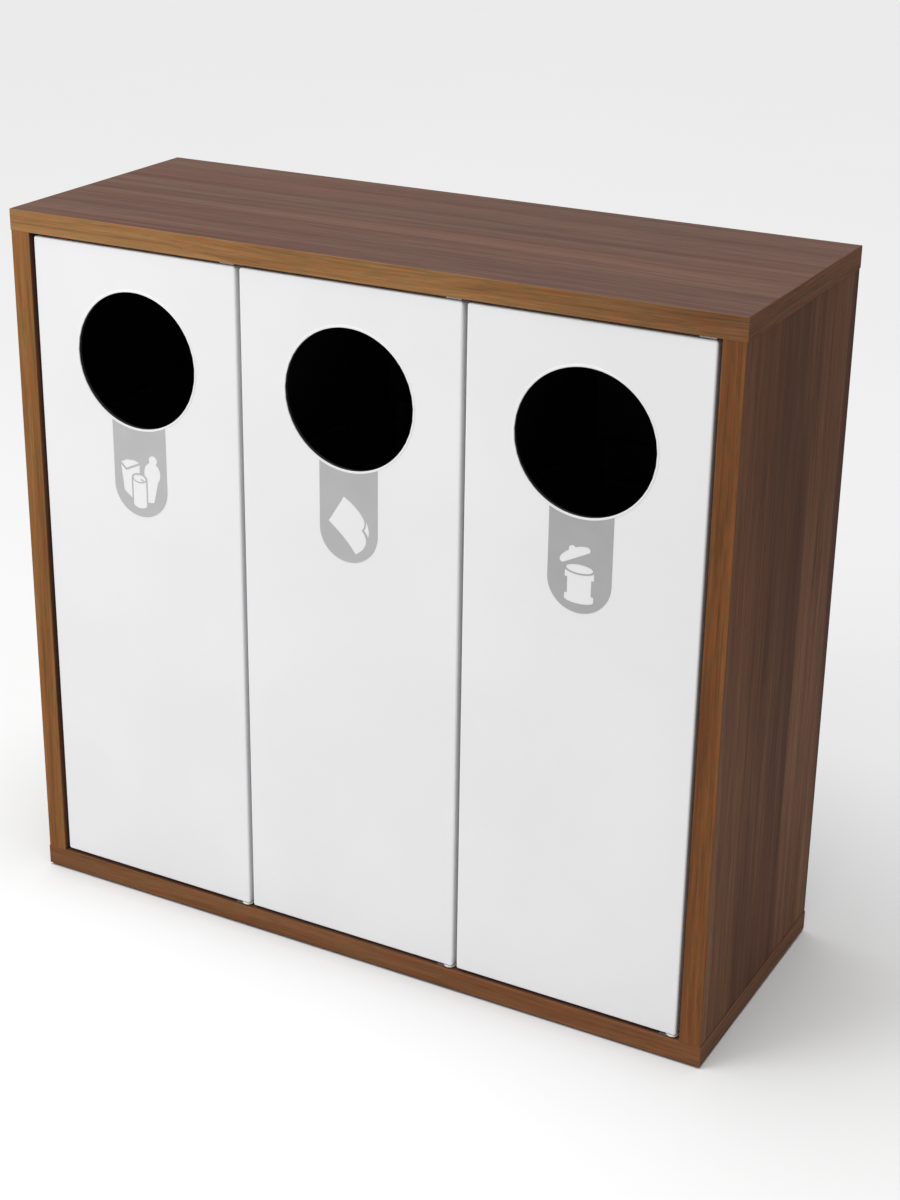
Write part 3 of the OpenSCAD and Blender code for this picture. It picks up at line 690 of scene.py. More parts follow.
def turned_outwards(surface: Surface) -> Surface:
    """The same surface with its faces and normals pointing out.

    The volume is the sum, over the triangles of each quad, of the corner dotted with the cross
    product of the other two, over six: where it is negative the faces are turned round, and
    where normals point against their faces they are negated. The sum's sign is all that is used.

    Args:
        surface: the surface as its grid was laid.

    Returns:
        The surface with its faces and normals turned where they have to be.
    """
    p, q = surface.points, surface.quads
    middle = p.mean(0)
    a, b, c, d = (p[q[:, k]] - middle for k in range(4))
    volume = (a * np.cross(b, c)).sum() + (a * np.cross(c, d)).sum()
    caps = surface.caps
    if volume < 0:
        q = q[:, ::-1]
        caps = [cap[::-1] for cap in caps]
    a, b, c = (p[q[:, k]] for k in range(3))
    agree = (np.cross(b - a, c - a) * surface.normals[q[:, 1]]).sum()
    normals = surface.normals if agree >= 0 else -surface.normals
    return Surface(p, normals, q, caps)


def grid(points: Array, normals: Array, close_rows: bool, cap_ends: bool) -> Surface:
    """A grid of rows, each row a closed loop.

    Args:
        points: rows by columns by 3.
        normals: the same shape.
        close_rows: joins the last row to the first.
        cap_ends: closes the first and last rows with flat faces.

    Returns:
        The surface, with its faces pointing out.
    """
    rows, columns = points.shape[:2]
    i, j = np.meshgrid(np.arange(rows if close_rows else rows - 1), np.arange(columns), indexing="ij")
    here, up = i * columns, ((i + 1) % rows) * columns
    after = (j + 1) % columns
    quads = np.stack([here + j, here + after, up + after, up + j], axis=-1).reshape(-1, 4)
    first = list(range(columns))
    last = [(rows - 1) * columns + k for k in first]
    caps = [first[::-1], last] if cap_ends else []
    return turned_outwards(Surface(points.reshape(-1, 3), normals.reshape(-1, 3), quads, caps))


def rounded(
    corners: Sequence[tuple[float, float]],
    radii: Sequence[float],
    steps: int = 4,
    closed: bool = False,
) -> tuple[Array, Array]:
    """A polygon or open line whose corners are arcs.

    At a corner that turns by an angle, the arc starts the radius times the tangent of half that
    angle before the corner, and its normal turns evenly from one side's normal to the next.

    Args:
        corners: the corners in order; the ends of an open line are kept.
        radii: a radius for each rounded corner.
        steps: spans in each arc.
        closed: whether the last corner joins the first.

    Returns:
        Points and unit normals, one row each; the normals are on the right of the way along.
    """
    p = np.array(corners, float)
    if closed:
        before, here, after = np.roll(p, 1, 0), p, np.roll(p, -1, 0)
    else:
        before, here, after = p[:-2], p[1:-1], p[2:]
    r = np.array(radii, float)[:, None]
    d1 = (here - before) / np.linalg.norm(here - before, axis=1, keepdims=True)
    d2 = (after - here) / np.linalg.norm(after - here, axis=1, keepdims=True)
    turn = np.arctan2(d1[:, 0] * d2[:, 1] - d1[:, 1] * d2[:, 0], (d1 * d2).sum(1))[:, None]
    side = np.sign(turn)
    n1 = np.stack([d1[:, 1], -d1[:, 0]], axis=1)
    start = here - d1 * r * np.tan(np.abs(turn) / 2)
    centre = start - side * r * n1
    angle = np.arctan2(n1[:, 1], n1[:, 0])[:, None] + turn * np.linspace(0, 1, steps + 1)
    normals = np.stack([np.cos(angle), np.sin(angle)], axis=-1)
    points = centre[:, None, :] + (side * r)[:, None, :] * normals
    points, normals = points.reshape(-1, 2), normals.reshape(-1, 2)
    if not closed:
        out = p[-1] - p[-2]
        last = np.array([out[1], -out[0]]) / np.linalg.norm(out)
        points = np.concatenate([p[:1], points, p[-1:]])
        normals = np.concatenate([n1[:1], normals, last[None]])
    return points, normals


@dataclass(frozen=True)
class Outline:
    """A rectangle with round corners in a plane, and the loops that run inside it."""

    low: tuple[float, float]
    high: tuple[float, float]
    radius: float
    corner_steps: int = 6
    side_steps: int = 1
    least: float = 0.15 * MM

    def loops(self, insets: Array) -> tuple[Array, Array]:
        """Loops at these distances inside the outline, all with the same points round them.

        A loop's corner is an arc whose radius is the outline's less the inset, about a centre
        that keeps the arc touching both sides.

        Args:
            insets: the distances, one for each loop.

        Returns:
            Points, loops by places by 2, and the unit direction outwards at each place.
        """
        middle = (np.array(self.low) + np.array(self.high)) / 2
        half = (np.array(self.high) - np.array(self.low)) / 2
        quarter = np.arange(4)[:, None] * math.pi / 2
        angle = quarter + np.linspace(0, math.pi / 2, self.corner_steps + 1)[None]
        way = np.stack([np.cos(angle), np.sin(angle)], axis=-1)
        sign = np.array([[1, 1], [-1, 1], [-1, -1], [1, -1]], float)[:, None, :]
        inset = np.asarray(insets, float)[:, None, None, None]
        radius = np.maximum(self.radius - inset, self.least)
        corner = middle + sign * (half - inset - radius) + radius * way
        share = (np.arange(1, self.side_steps) / self.side_steps)[None, None, :, None]
        start, end = corner[:, :, -1:], np.roll(corner, -1, axis=1)[:, :, :1]
        side = start + (end - start) * share
        points = np.concatenate([corner, side], axis=2).reshape(len(inset), -1, 2)
        side_way = np.repeat(way[:, -1:], self.side_steps - 1, axis=1)
        ways = np.concatenate([way, side_way], axis=1).reshape(-1, 2)
        return points, ways


class Plane(Enum):
    """Where an outline's two axes and its depth lie, as the row-frame axes of the three."""

    UPRIGHT = (0, 2, 1)
    LEVEL = (0, 1, 2)

    def lift(self, flat: Array, depth: Array) -> Array:
        """Puts flat points and a depth into space.

        Args:
            flat: points or directions in the outline's two axes.
            depth: what each has along the third.

        Returns:
            The same points with three coordinates.
        """
        full = np.concatenate([flat, depth[..., None]], axis=-1)
        out = np.empty_like(full)
        out[..., list(self.value)] = full
        return out


def carried(
    outline: Outline, plane: Plane, profile: Array, normals: Array
) -> tuple[Array, Array]:
    """A profile carried round an outline.

    A profile point is an inset from the outline and a depth, and it makes one loop.

    Args:
        outline: the outline that the profile follows.
        plane: how the outline lies in space.
        profile: an inset and a depth for each point.
        normals: the profile's normals, one for each point.

    Returns:
        Points and normals, loops by places by 3.
    """
    flat, ways = outline.loops(profile[:, 0])
    depth = np.broadcast_to(profile[:, 1:2], flat.shape[:2])
    across = -normals[:, 0][:, None, None] * ways[None]
    along = np.broadcast_to(normals[:, 1:2], flat.shape[:2])
    return plane.lift(flat, depth), plane.lift(across, along)


def soft_box(low: Array, high: Array, radius: float, steps: int = 3) -> Surface:
    """A box with rounded edges and corners.

    Each point is a corner of the box shrunk by the radius, plus the radius times the direction
    at its longitude and latitude; longitudes and latitudes repeat where the corner changes.

    Args:
        low: the box's lowest corner.
        high: its highest corner.
        radius: the radius of its edges and corners.
        steps: spans in each quarter turn.

    Returns:
        The closed box.
    """
    low, high = np.array(low, float), np.array(high, float)
    quarter = np.linspace(0, math.pi / 2, steps + 1)
    longitude = (np.arange(4)[:, None] * math.pi / 2 + quarter).reshape(-1)
    latitude = np.concatenate([quarter - math.pi / 2, quarter])
    sign_x = np.repeat([1, -1, -1, 1], steps + 1)
    sign_y = np.repeat([1, 1, -1, -1], steps + 1)
    sign_z = np.repeat([-1, 1], steps + 1)
    way = np.stack([
        np.cos(latitude)[:, None] * np.cos(longitude)[None],
        np.cos(latitude)[:, None] * np.sin(longitude)[None],
        np.broadcast_to(np.sin(latitude)[:, None], (len(latitude), len(longitude))),
    ], axis=-1)
    sign = np.stack(np.broadcast_arrays(sign_x[None], sign_y[None], sign_z[:, None]), axis=-1)
    points = (low + high) / 2 + sign * ((high - low) / 2 - radius) + radius * way
    return grid(points, way, False, True)


def axes_about(axis: Point) -> tuple[Array, Array, Array]:
    """Two directions across an axis, and the axis itself.

    Args:
        axis: the axis, of any length.

    Returns:
        Three unit vectors at right angles to each other, the axis last.
    """
    a = np.array(axis, float)
    a /= np.linalg.norm(a)
    u = np.cross(a, [0.0, 0.0, 1.0] if abs(a[2]) < 0.9 else [1.0, 0.0, 0.0])
    u /= np.linalg.norm(u)
    return u, np.cross(a, u), a


def turned(
    centre: Point, axis: Point, profile: Array, normals: Array, steps: int = 48, closed: bool = False
) -> Surface:
    """A profile turned about an axis.

    A profile point is a radius and a height along the axis; an open profile starts and ends on
    the axis, and a closed one makes a ring.

    Args:
        centre: the point on the axis that heights start from.
        axis: the axis's direction.
        profile: a radius and a height for each point.
        normals: the profile's normals, one for each point.
        steps: spans in the whole turn.
        closed: whether the profile's last point joins its first.

    Returns:
        The turned surface.
    """
    u, v, a = axes_about(axis)
    angle = np.arange(steps) * 2 * math.pi / steps
    way = np.cos(angle)[:, None] * u + np.sin(angle)[:, None] * v
    points = np.array(centre) + profile[:, 0, None, None] * way + profile[:, 1, None, None] * a
    leaning = normals[:, 0, None, None] * way + normals[:, 1, None, None] * a
    return grid(points, np.broadcast_to(leaning, points.shape).copy(), closed, False)


def tube(path: Array, radius: float, up: Point, steps: int = 12) -> Surface:
    """A circle carried along a path that lies across the up direction, with flat ends.

    Args:
        path: the points that the circle's centre passes.
        radius: the circle's radius.
        up: the direction that the path never turns towards.
        steps: spans in the circle.

    Returns:
        The closed tube.
    """
    along = np.gradient(path, axis=0)
    along /= np.linalg.norm(along, axis=1, keepdims=True)
    rise = np.array(up, float)
    side = np.cross(along, rise)
    angle = np.arange(steps) * 2 * math.pi / steps
    way = np.cos(angle)[None, :, None] * side[:, None, :] + np.sin(angle)[None, :, None] * rise
    return grid(path[:, None, :] + radius * way, way, False, True)


@dataclass(frozen=True)
class ScrewHead:
    """A screw's head, with a cross recess, and the shank under it.

    The dome and the recess are shares of the head's height, and the recess's bars, the slope of
    their walls and the rounding of the head's rim are shares of its radius.
    """

    head: float
    height: float
    shank: float
    length: float
    dome: float = 0.35
    recess: float = 0.5
    flush: bool = False
    bar_wide: float = 0.16
    bar_long: float = 0.62
    bar_slope: float = 0.08
    rim_round: float = 0.012
    neck_round: float = 0.06

    def surface(self, top: Point, axis: Point, steps: int = 48, rings: int = 12) -> Surface:
        """The whole screw, its top at a point and its axis pointing out of the head.

        The head's height falls with the square of the radius, by the dome's share of the height,
        and the recess takes a smooth bite out of it wherever a point lies in either bar of the
        cross. The lower profile runs down the outside, so its normals are turned round.

        Args:
            top: the middle of the head's top.
            axis: the direction out of the head.
            steps: spans in the whole turn.
            rings: rows of points from the head's middle to its rim.

        Returns:
            The closed surface of the screw.
        """
        u, v, a = axes_about(axis)
        radius = np.linspace(0, self.head, rings)
        angle = np.arange(steps) * 2 * math.pi / steps
        across = np.cos(angle)[:, None] * u + np.sin(angle)[:, None] * v
        x, y = radius[:, None] * np.cos(angle), radius[:, None] * np.sin(angle)
        wide, long = self.bar_wide * self.head, self.bar_long * self.head
        bar = np.maximum(
            self._inside(x, wide) * self._inside(y, long),
            self._inside(y, wide) * self._inside(x, long),
        )
        fall = 0 if self.flush else self.dome * self.height
        level = -fall * (x * x + y * y) / self.head**2 - bar * self.recess * self.height
        top_points = np.array(top) + radius[:, None, None] * across + level[..., None] * a
        slope = np.broadcast_to(a, top_points.shape)
        under = self.head - self.shank if self.flush else 0.0
        lower = [
            (self.head, -fall), (self.head, -self.height + under), (self.shank, -self.height),
            (self.shank, -self.length), (0.0, -self.length),
        ]
        rim, neck = self.rim_round * self.head, self.neck_round * self.head
        profile, normals = rounded(lower, [rim, rim, neck], 2)
        rest = np.array(top) + profile[:, 0, None, None] * across + profile[:, 1, None, None] * a
        lean = -normals[:, 0, None, None] * across - normals[:, 1, None, None] * a
        points = np.concatenate([top_points, rest[1:]])
        return grid(points, np.concatenate([slope, lean[1:]]), False, False)

    def _inside(self, value: Array, limit: float) -> Array:
        """1 within the limit, falling to 0 a little outside it."""
        soft = self.bar_slope * self.head
        return np.clip((limit + soft - np.abs(value)) / soft, 0, 1)


def mesh_of(name: str, surface: Surface) -> bpy.types.Mesh:
    """A mesh of a surface.

    Points that coincide become one, and a quad that loses a side this way becomes a triangle.
    The edge attribute is one less a normal's largest part, over its value halfway round a
    right-angled corner.

    Args:
        name: the mesh's name.
        surface: the surface, in the row frame.

    Returns:
        The new mesh, smooth, with the surface's own normals.
    """
    key = np.round(surface.points / SAME_POINT).astype(np.int64)
    _, first, inverse = np.unique(key, axis=0, return_index=True, return_inverse=True)
    inverse = inverse.reshape(-1)
    points, normals = surface.points[first], surface.normals[first]
    quads = inverse[surface.quads]
    same = quads == np.roll(quads, -1, axis=1)
    whole, halved = same.sum(1) == 0, same.sum(1) == 1
    triangles = quads[halved][~same[halved]].reshape(-1, 3)
    caps = []
    for cap in surface.caps:
        ring = [int(inverse[i]) for i in cap]
        ring = [v for k, v in enumerate(ring) if v != ring[k - 1]]
        caps += [ring] if len(ring) > 2 else []
    mesh = bpy.data.meshes.new(name)
    mesh.from_pydata(points.tolist(), [], quads[whole].tolist() + triangles.tolist() + caps)
    mesh.polygons.foreach_set("use_smooth", np.ones(len(mesh.polygons), bool))
    turned_share = (1 - np.abs(normals).max(1)) / (1 - math.sqrt(0.5))
    edge = mesh.attributes.new("edge", "FLOAT", "POINT")
    edge.data.foreach_set("value", np.clip(turned_share, 0, 1).astype(np.float32))
    mesh.validate()
    mesh.normals_split_custom_set_from_vertices(normals.tolist())
    mesh.update()
    return mesh


# ---------------------------------------------------------------- pieces and the frame


class Workshop:
    """Makes pieces, dresses CAD nodes, and keeps one material for each finish."""

    def __init__(self) -> None:
        """Starts with no materials, and reads each node's slot and body from the frame."""
        self.materials: dict[str, bpy.types.Material] = {}
        self.slots = {row["node"]: row["material_slot"] for row in frame["record"]["subparts"]}
        self.bodies = {n: b for b, ns in frame["record"]["behaviour"]["bodies"].items() for n in ns}

    def material(self, finish: Finish) -> bpy.types.Material:
        """The material of a finish, made when it is first asked for.

        Args:
            finish: the finish.

        Returns:
            Its material.
        """
        if finish.name not in self.materials:
            self.materials[finish.name] = finish.material()
        return self.materials[finish.name]

    def piece(self, name: str, surface: Surface, finish: Finish, *nodes: str) -> bpy.types.Object:
        """Makes a piece that stands for some CAD nodes.

        Args:
            name: the piece's name.
            surface: its shape, in the row frame.
            finish: what it is dressed with.
            nodes: the CAD nodes that it replaces; it rides on the first one's body.

        Returns:
            The new object.
        """
        made = bpy.data.objects.new(name, mesh_of(name, surface))
        bpy.context.scene.collection.objects.link(made)
        made.data.materials.append(self.material(finish))
        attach(made, self.bodies[nodes[0]])
        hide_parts(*nodes)
        log.info("%s: %d faces on %s", name, len(made.data.polygons), self.bodies[nodes[0]])
        return made

    def dress(self, node: str, finish: Finish) -> None:
        """Gives a CAD node that keeps its own shape a finish.

        Args:
            node: the node's name.
            finish: what it is dressed with.
        """
        kept = frame["nodes"][node]
        kept.data.materials.clear()
        kept.data.materials.append(self.material(finish))
        log.info("%s keeps its shape, in %s", node, finish.name)


def box_of(node: str) -> tuple[Array, Array]:
    """A node's lowest and highest corners."""
    low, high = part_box(node)
    return np.array(low), np.array(high)


def solids_of(node: str) -> list[tuple[Array, Array]]:
    """The box of each separate solid in a node.

    Corners of triangles that coincide share a label, and each triangle's corners take the least
    of their labels until nothing changes.

    Args:
        node: the CAD node's name.

    Returns:
        A lowest and a highest corner for each solid, in the order of their lowest corners.
    """
    mesh = frame["nodes"][node].data
    co = np.zeros(len(mesh.vertices) * 3, np.float32)
    mesh.vertices.foreach_get("co", co)
    co = co.reshape(-1, 3)
    mesh.calc_loop_triangles()
    tri = np.zeros(len(mesh.loop_triangles) * 3, np.int32)
    mesh.loop_triangles.foreach_get("vertices", tri)
    _, same = np.unique(np.round(co / SAME_POINT).astype(np.int64), axis=0, return_inverse=True)
    tri = same.reshape(-1)[tri].reshape(-1, 3)
    label = np.arange(same.max() + 1)
    while True:
        least = label[tri].min(1)
        new = label.copy()
        np.minimum.at(new, tri.reshape(-1), np.repeat(least, 3))
        if (new == label).all():
            break
        label = new
    owner = label[same.reshape(-1)]
    groups = [co[owner == k] for k in np.unique(owner)]
    return sorted(((g.min(0).astype(float), g.max(0).astype(float)) for g in groups),
                  key=lambda b: tuple(b[0]))


# ---------------------------------------------------------------- sub-assemblies


@dataclass(frozen=True)
class Cabinet:
    """The wooden box: boards, edging strips, partitions, back panel and their fittings."""

    board_edge: float = 0.35 * MM
    strip_edge: float = 0.45 * MM
    cam_proud: float = 0.15 * MM
    cam_drop: float = 1.0 * MM
    screw_head: float = 2.5 * MM
    screw_shank: float = 1.9 * MM
    painted_shade_skin: float = 0.4 * MM
    behind_doors: float = 2.0 * MM

    def build(self, shop: Workshop) -> None:
        """Makes and dresses every piece of the box.

        Args:
            shop: where the pieces are made.
        """
        # Painted shade: the walnut boards are painted near-black inside this box.
        room = self._room()
        boards = {
            "top_panel": replace(BOARD_TOP, inside=room),
            "bottom_panel": replace(BOARD_BOTTOM, inside=room),
            "left_side_panel": replace(BOARD_LEFT, inside=room),
            "right_side_panel": replace(BOARD_RIGHT, inside=room),
            "left_partition": BLACK_BOARD, "right_partition": BLACK_BOARD,
            "back_panel": BLACK_HARDBOARD,
        }
        for node, finish in boards.items():
            self._boxes(shop, node, finish, self.board_edge)
        strips = {
            "top_front_edging": BAND_TOP, "bottom_front_edging": BAND_BOTTOM,
            "left_front_edging": BAND_LEFT, "right_front_edging": BAND_RIGHT,
            "top_end_edgings": BAND_TOP_ENDS, "bottom_end_edgings": BAND_BOTTOM_ENDS,
            "partition_edgings": BLACK_PLASTIC,
        }
        for node, finish in strips.items():
            self._boxes(shop, node, finish, self.strip_edge)
        self._cams(shop)
        self._back_screws(shop)
        shop.dress("wood_dowels", BEECH)
        shop.dress("cam_bolts", ZINC)
        shop.dress("foot_inserts", BRASS)

    def _room(self) -> tuple[Point, Point]:
        """The box behind the doors, where the boards' inner faces are painted near-black as painted
        shade.

        Returns:
            The box's lowest and highest corners, a skin's thickness into the boards.
        """
        skin = self.painted_shade_skin
        front = box_of("left_door_pan")[1][1] + self.behind_doors
        low = (box_of("left_side_panel")[1][0] - skin, front, box_of("bottom_panel")[1][2] - skin)
        high = (box_of("right_side_panel")[0][0] + skin, box_of("back_panel")[1][1] + skin,
                box_of("top_panel")[0][2] + skin)
        return tuple(map(float, low)), tuple(map(float, high))

    def _boxes(self, shop: Workshop, node: str, finish: Finish, radius: float) -> None:
        """Each solid of a node as a box with rounded edges."""
        shells = [soft_box(low, high, radius) for low, high in solids_of(node)]
        shop.piece(f"{node}_finished", together(shells), finish, node)

    def _cams(self, shop: Workshop) -> None:
        """Cam faces with their cross slots, which stand a hair out of the boards.

        Args:
            shop: where the pieces are made.
        """
        shells = []
        for low, high in solids_of("cam_housings"):
            middle, half = (low + high) / 2, (high - low) / 2
            out = self._open_side(low, high)
            top = middle + np.array([out * (half[0] + self.cam_proud), 0, 0])
            cam = ScrewHead(half[1], 2 * half[0], half[1] * 0.98, 2 * half[0] + self.cam_drop,
                            dome=0.01, recess=0.10)
            shells.append(cam.surface(tuple(top), (out, 0, 0), rings=16))
        shop.piece("cam_faces", together(shells), ZINC_CAST, "cam_housings")

    def _open_side(self, low: Array, high: Array) -> float:
        """The way a cam faces: towards the nearer face of the board that it is let into.

        Args:
            low: the cam's lowest corner.
            high: its highest corner.

        Returns:
            -1 for the board's left face and 1 for its right.
        """
        for node in ("left_side_panel", "right_side_panel", "left_partition", "right_partition"):
            a, b = box_of(node)
            if a[0] - MM < low[0] and high[0] < b[0] + MM:
                return -1.0 if low[0] - a[0] < b[0] - high[0] else 1.0
        return 1.0

    def _back_screws(self, shop: Workshop) -> None:
        """Pan-head screws that hold the back panel to the partitions.

        Args:
            shop: where the pieces are made.
        """
        shells = []
        for low, high in solids_of("back_panel_screws"):
            head = (high[0] - low[0]) / 2
            screw = ScrewHead(head, self.screw_head, self.screw_shank, high[1] - low[1])
            top = ((low[0] + high[0]) / 2, high[1], (low[2] + high[2]) / 2)
            shells.append(screw.surface(top, (0, 1, 0)))
        shop.piece("back_screw_heads", together(shells), ZINC, "back_panel_screws")


@dataclass(frozen=True)
class Fittings:
    """Hinge plates, pins, washers and magnetic catches."""

    head: float = 1.8 * MM
    shank: float = 1.9 * MM

    def build(self, shop: Workshop) -> None:
        """Makes the screws and dresses the rest.

        Args:
            shop: where the pieces are made.
        """
        shells = []
        for low, high in solids_of("hinge_plate_screws"):
            up = low[2] < box_of("bottom_panel")[1][2]
            top = ((low[0] + high[0]) / 2, (low[1] + high[1]) / 2, high[2] if up else low[2])
            screw = ScrewHead((high[0] - low[0]) / 2, self.head, self.shank, high[2] - low[2],
                              flush=True)
            shells.append(screw.surface(top, (0, 0, 1 if up else -1)))
        shop.piece("hinge_screw_heads", together(shells), ZINC, "hinge_plate_screws")
        for node in ("upper_hinge_plates", "lower_hinge_plates"):
            shop.dress(node, DULL_ZINC_WITH_PAINTED_SHADE)
        for node in ("lower_pivot_pins", "catch_screws"):
            shop.dress(node, ZINC)
        shop.dress("pivot_washers", NATURAL_NYLON)
        shop.dress("catch_housings", WHITE_PLASTIC)
        shop.dress("catch_magnets", FERRITE)


@dataclass(frozen=True)
class Door:
    """A pan folded from steel sheet, its aperture ring, its label and its pivots.

    The strips of flat sheet that the pan's rows leave beside the lip and round the hole are
    lip_flat and hole_flat.
    """

    name: str
    film: Film
    sheet: float = 1.0 * MM
    lip: float = 16.0 * MM
    fold: float = 2.4 * MM
    back_fold: float = 1.4 * MM
    corner: float = 3.0 * MM
    rim: float = 2.2 * MM
    rim_out: float = 0.5 * MM
    rim_rounds: tuple[float, ...] = (0.2 * MM, 0.45 * MM, 0.4 * MM, 0.4 * MM)
    lip_flat: float = 2.0 * MM
    hole_flat: float = 8.0 * MM
    ring_back: float = 0.3 * MM
    ring_wall: float = 1.0 * MM
    ring_flange: float = 9.0 * MM
    flange_thick: float = 1.5 * MM
    ring_round: float = 0.3 * MM
    bore_round: float = 0.1 * MM
    strike_round: float = 0.5 * MM
    block_screw_head: float = 2.0 * MM
    block_screw_shank: float = 1.75 * MM

    def build(self, shop: Workshop) -> None:
        """Makes and dresses every piece of the door.

        Args:
            shop: where the pieces are made.
        """
        pan, ring = f"{self.name}_door_pan", f"{self.name}_aperture_ring"
        shop.piece(f"{self.name}_folded_pan", self._pan(pan, ring), WHITE_COAT, pan)
        shop.piece(f"{self.name}_ring_collar", self._ring(ring), BLACK_PLASTIC, ring)
        shop.dress(f"{self.name}_label", self.film)
        shop.dress(f"{self.name}_pivot_blocks", GREY_NYLON)
        shop.dress(f"{self.name}_upper_pin", DULL_ZINC_WITH_PAINTED_SHADE)
        self._screws(shop)
        low, high = box_of(f"{self.name}_strike_plate")
        shop.piece(f"{self.name}_strike", soft_box(low, high, self.strike_round), ZINC,
                   f"{self.name}_strike_plate")

    def _bore(self, ring: str) -> tuple[Array, float]:
        """The aperture ring's middle and the radius of its bore."""
        low, high = box_of(ring)
        return (low + high) / 2, (high[0] - low[0]) / 2 - self.ring_flange - self.ring_wall

    def _pan(self, pan: str, ring: str) -> Surface:
        """The folded pan.

        Rows of one closed grid: round the hole from the back of the sheet, over the rim that is
        pressed out round it, to the sheet's front; then out to the front fold, back along the
        flange, in along the lip, and home along the inner faces. The hole's rows are circles
        whose places look towards the outline's places.

        Args:
            pan: the pan's CAD node.
            ring: the aperture ring's CAD node, which lies about the hole.

        Returns:
            The pan as one closed surface.
        """
        low, high = box_of(pan)
        front = low[1] + self.rim_out
        deep = high[1] - front
        t = self.sheet
        outline = Outline((low[0], low[2]), (high[0], high[2]), self.corner,
                          corner_steps=5, side_steps=36)
        middle, bore = self._bore(ring)
        hole = bore - self.ring_back
        flat = self.lip + self.lip_flat
        corners = [(flat, 0), (0, 0), (0, deep), (self.lip, deep), (self.lip, deep - t),
                   (t, deep - t), (t, t), (flat, t)]
        radii = [self.fold, self.back_fold, t * 0.45, t * 0.45, self.back_fold - t,
                 self.fold - t]
        profile, normals = rounded(corners, radii, 5)
        body, body_normals = carried(outline, Plane.UPRIGHT, profile, normals)
        out, wide = self.rim_out, hole + self.hole_flat
        over = [(wide, t), (hole, t), (hole, -out), (hole + self.rim, -out),
                (hole + self.rim + out, 0), (wide, 0)]
        edge, edge_normals = rounded(over, self.rim_rounds, 4)
        centre = np.array([middle[0], middle[2]])
        way = body[0][:, [0, 2]] - centre
        way /= np.linalg.norm(way, axis=1, keepdims=True)
        flat_rows = centre + edge[:, 0, None, None] * way
        depth = np.broadcast_to(edge[:, 1:2], flat_rows.shape[:2])
        hole_rows = Plane.UPRIGHT.lift(flat_rows, depth)
        lean = Plane.UPRIGHT.lift(edge_normals[:, 0, None, None] * way,
                                  np.broadcast_to(edge_normals[:, 1:2], flat_rows.shape[:2]))
        points = np.concatenate([hole_rows, body])
        all_normals = np.concatenate([lean, -body_normals])
        points[..., 1] += front
        return grid(points, self._towards_outside(points, all_normals), True, False)

    @staticmethod
    def _towards_outside(points: Array, normals: Array) -> Array:
        """Turns each row's normals to agree with the way that its neighbours' faces point.

        Args:
            points: rows by places by 3.
            normals: the same shape.

        Returns:
            The normals, each whole row of them negated where it has to be.
        """
        along = np.roll(points, -1, axis=1) - np.roll(points, 1, axis=1)
        up = np.roll(points, -1, axis=0) - np.roll(points, 1, axis=0)
        face = np.cross(along, up)
        agree = np.sign((face * normals).sum(-1).sum(1))
        agree[agree == 0] = 1
        return normals * agree[:, None, None]

    def _ring(self, ring: str) -> Surface:
        """The aperture ring: a flange against the back of the sheet, and a collar inwards.

        Args:
            ring: the ring's CAD node.

        Returns:
            The ring as one closed surface.
        """
        low, high = box_of(ring)
        middle, bore = self._bore(ring)
        outer, full = bore + self.ring_wall, high[1] - low[1]
        flange, thick = outer + self.ring_flange, self.flange_thick
        corners = [(bore, 0), (flange, 0), (flange, thick), (outer, thick), (outer, full),
                   (bore, full)]
        profile, normals = rounded(corners, [self.bore_round] + [self.ring_round] * 5, 4, True)
        centre = (middle[0], low[1], middle[2])
        return turned(centre, (0, 1, 0), profile, normals, 160, True)

    def _screws(self, shop: Workshop) -> None:
        """Pan-head screws through the lip into the pivot blocks.

        Args:
            shop: where the pieces are made.
        """
        node = f"{self.name}_block_screws"
        shells = []
        for low, high in solids_of(node):
            head = (high[0] - low[0]) / 2
            screw = ScrewHead(head, self.block_screw_head, self.block_screw_shank,
                              high[1] - low[1])
            top = ((low[0] + high[0]) / 2, high[1], (low[2] + high[2]) / 2)
            shells.append(screw.surface(top, (0, 1, 0)))
        shop.piece(f"{self.name}_block_screw_heads", together(shells), ZINC, node)


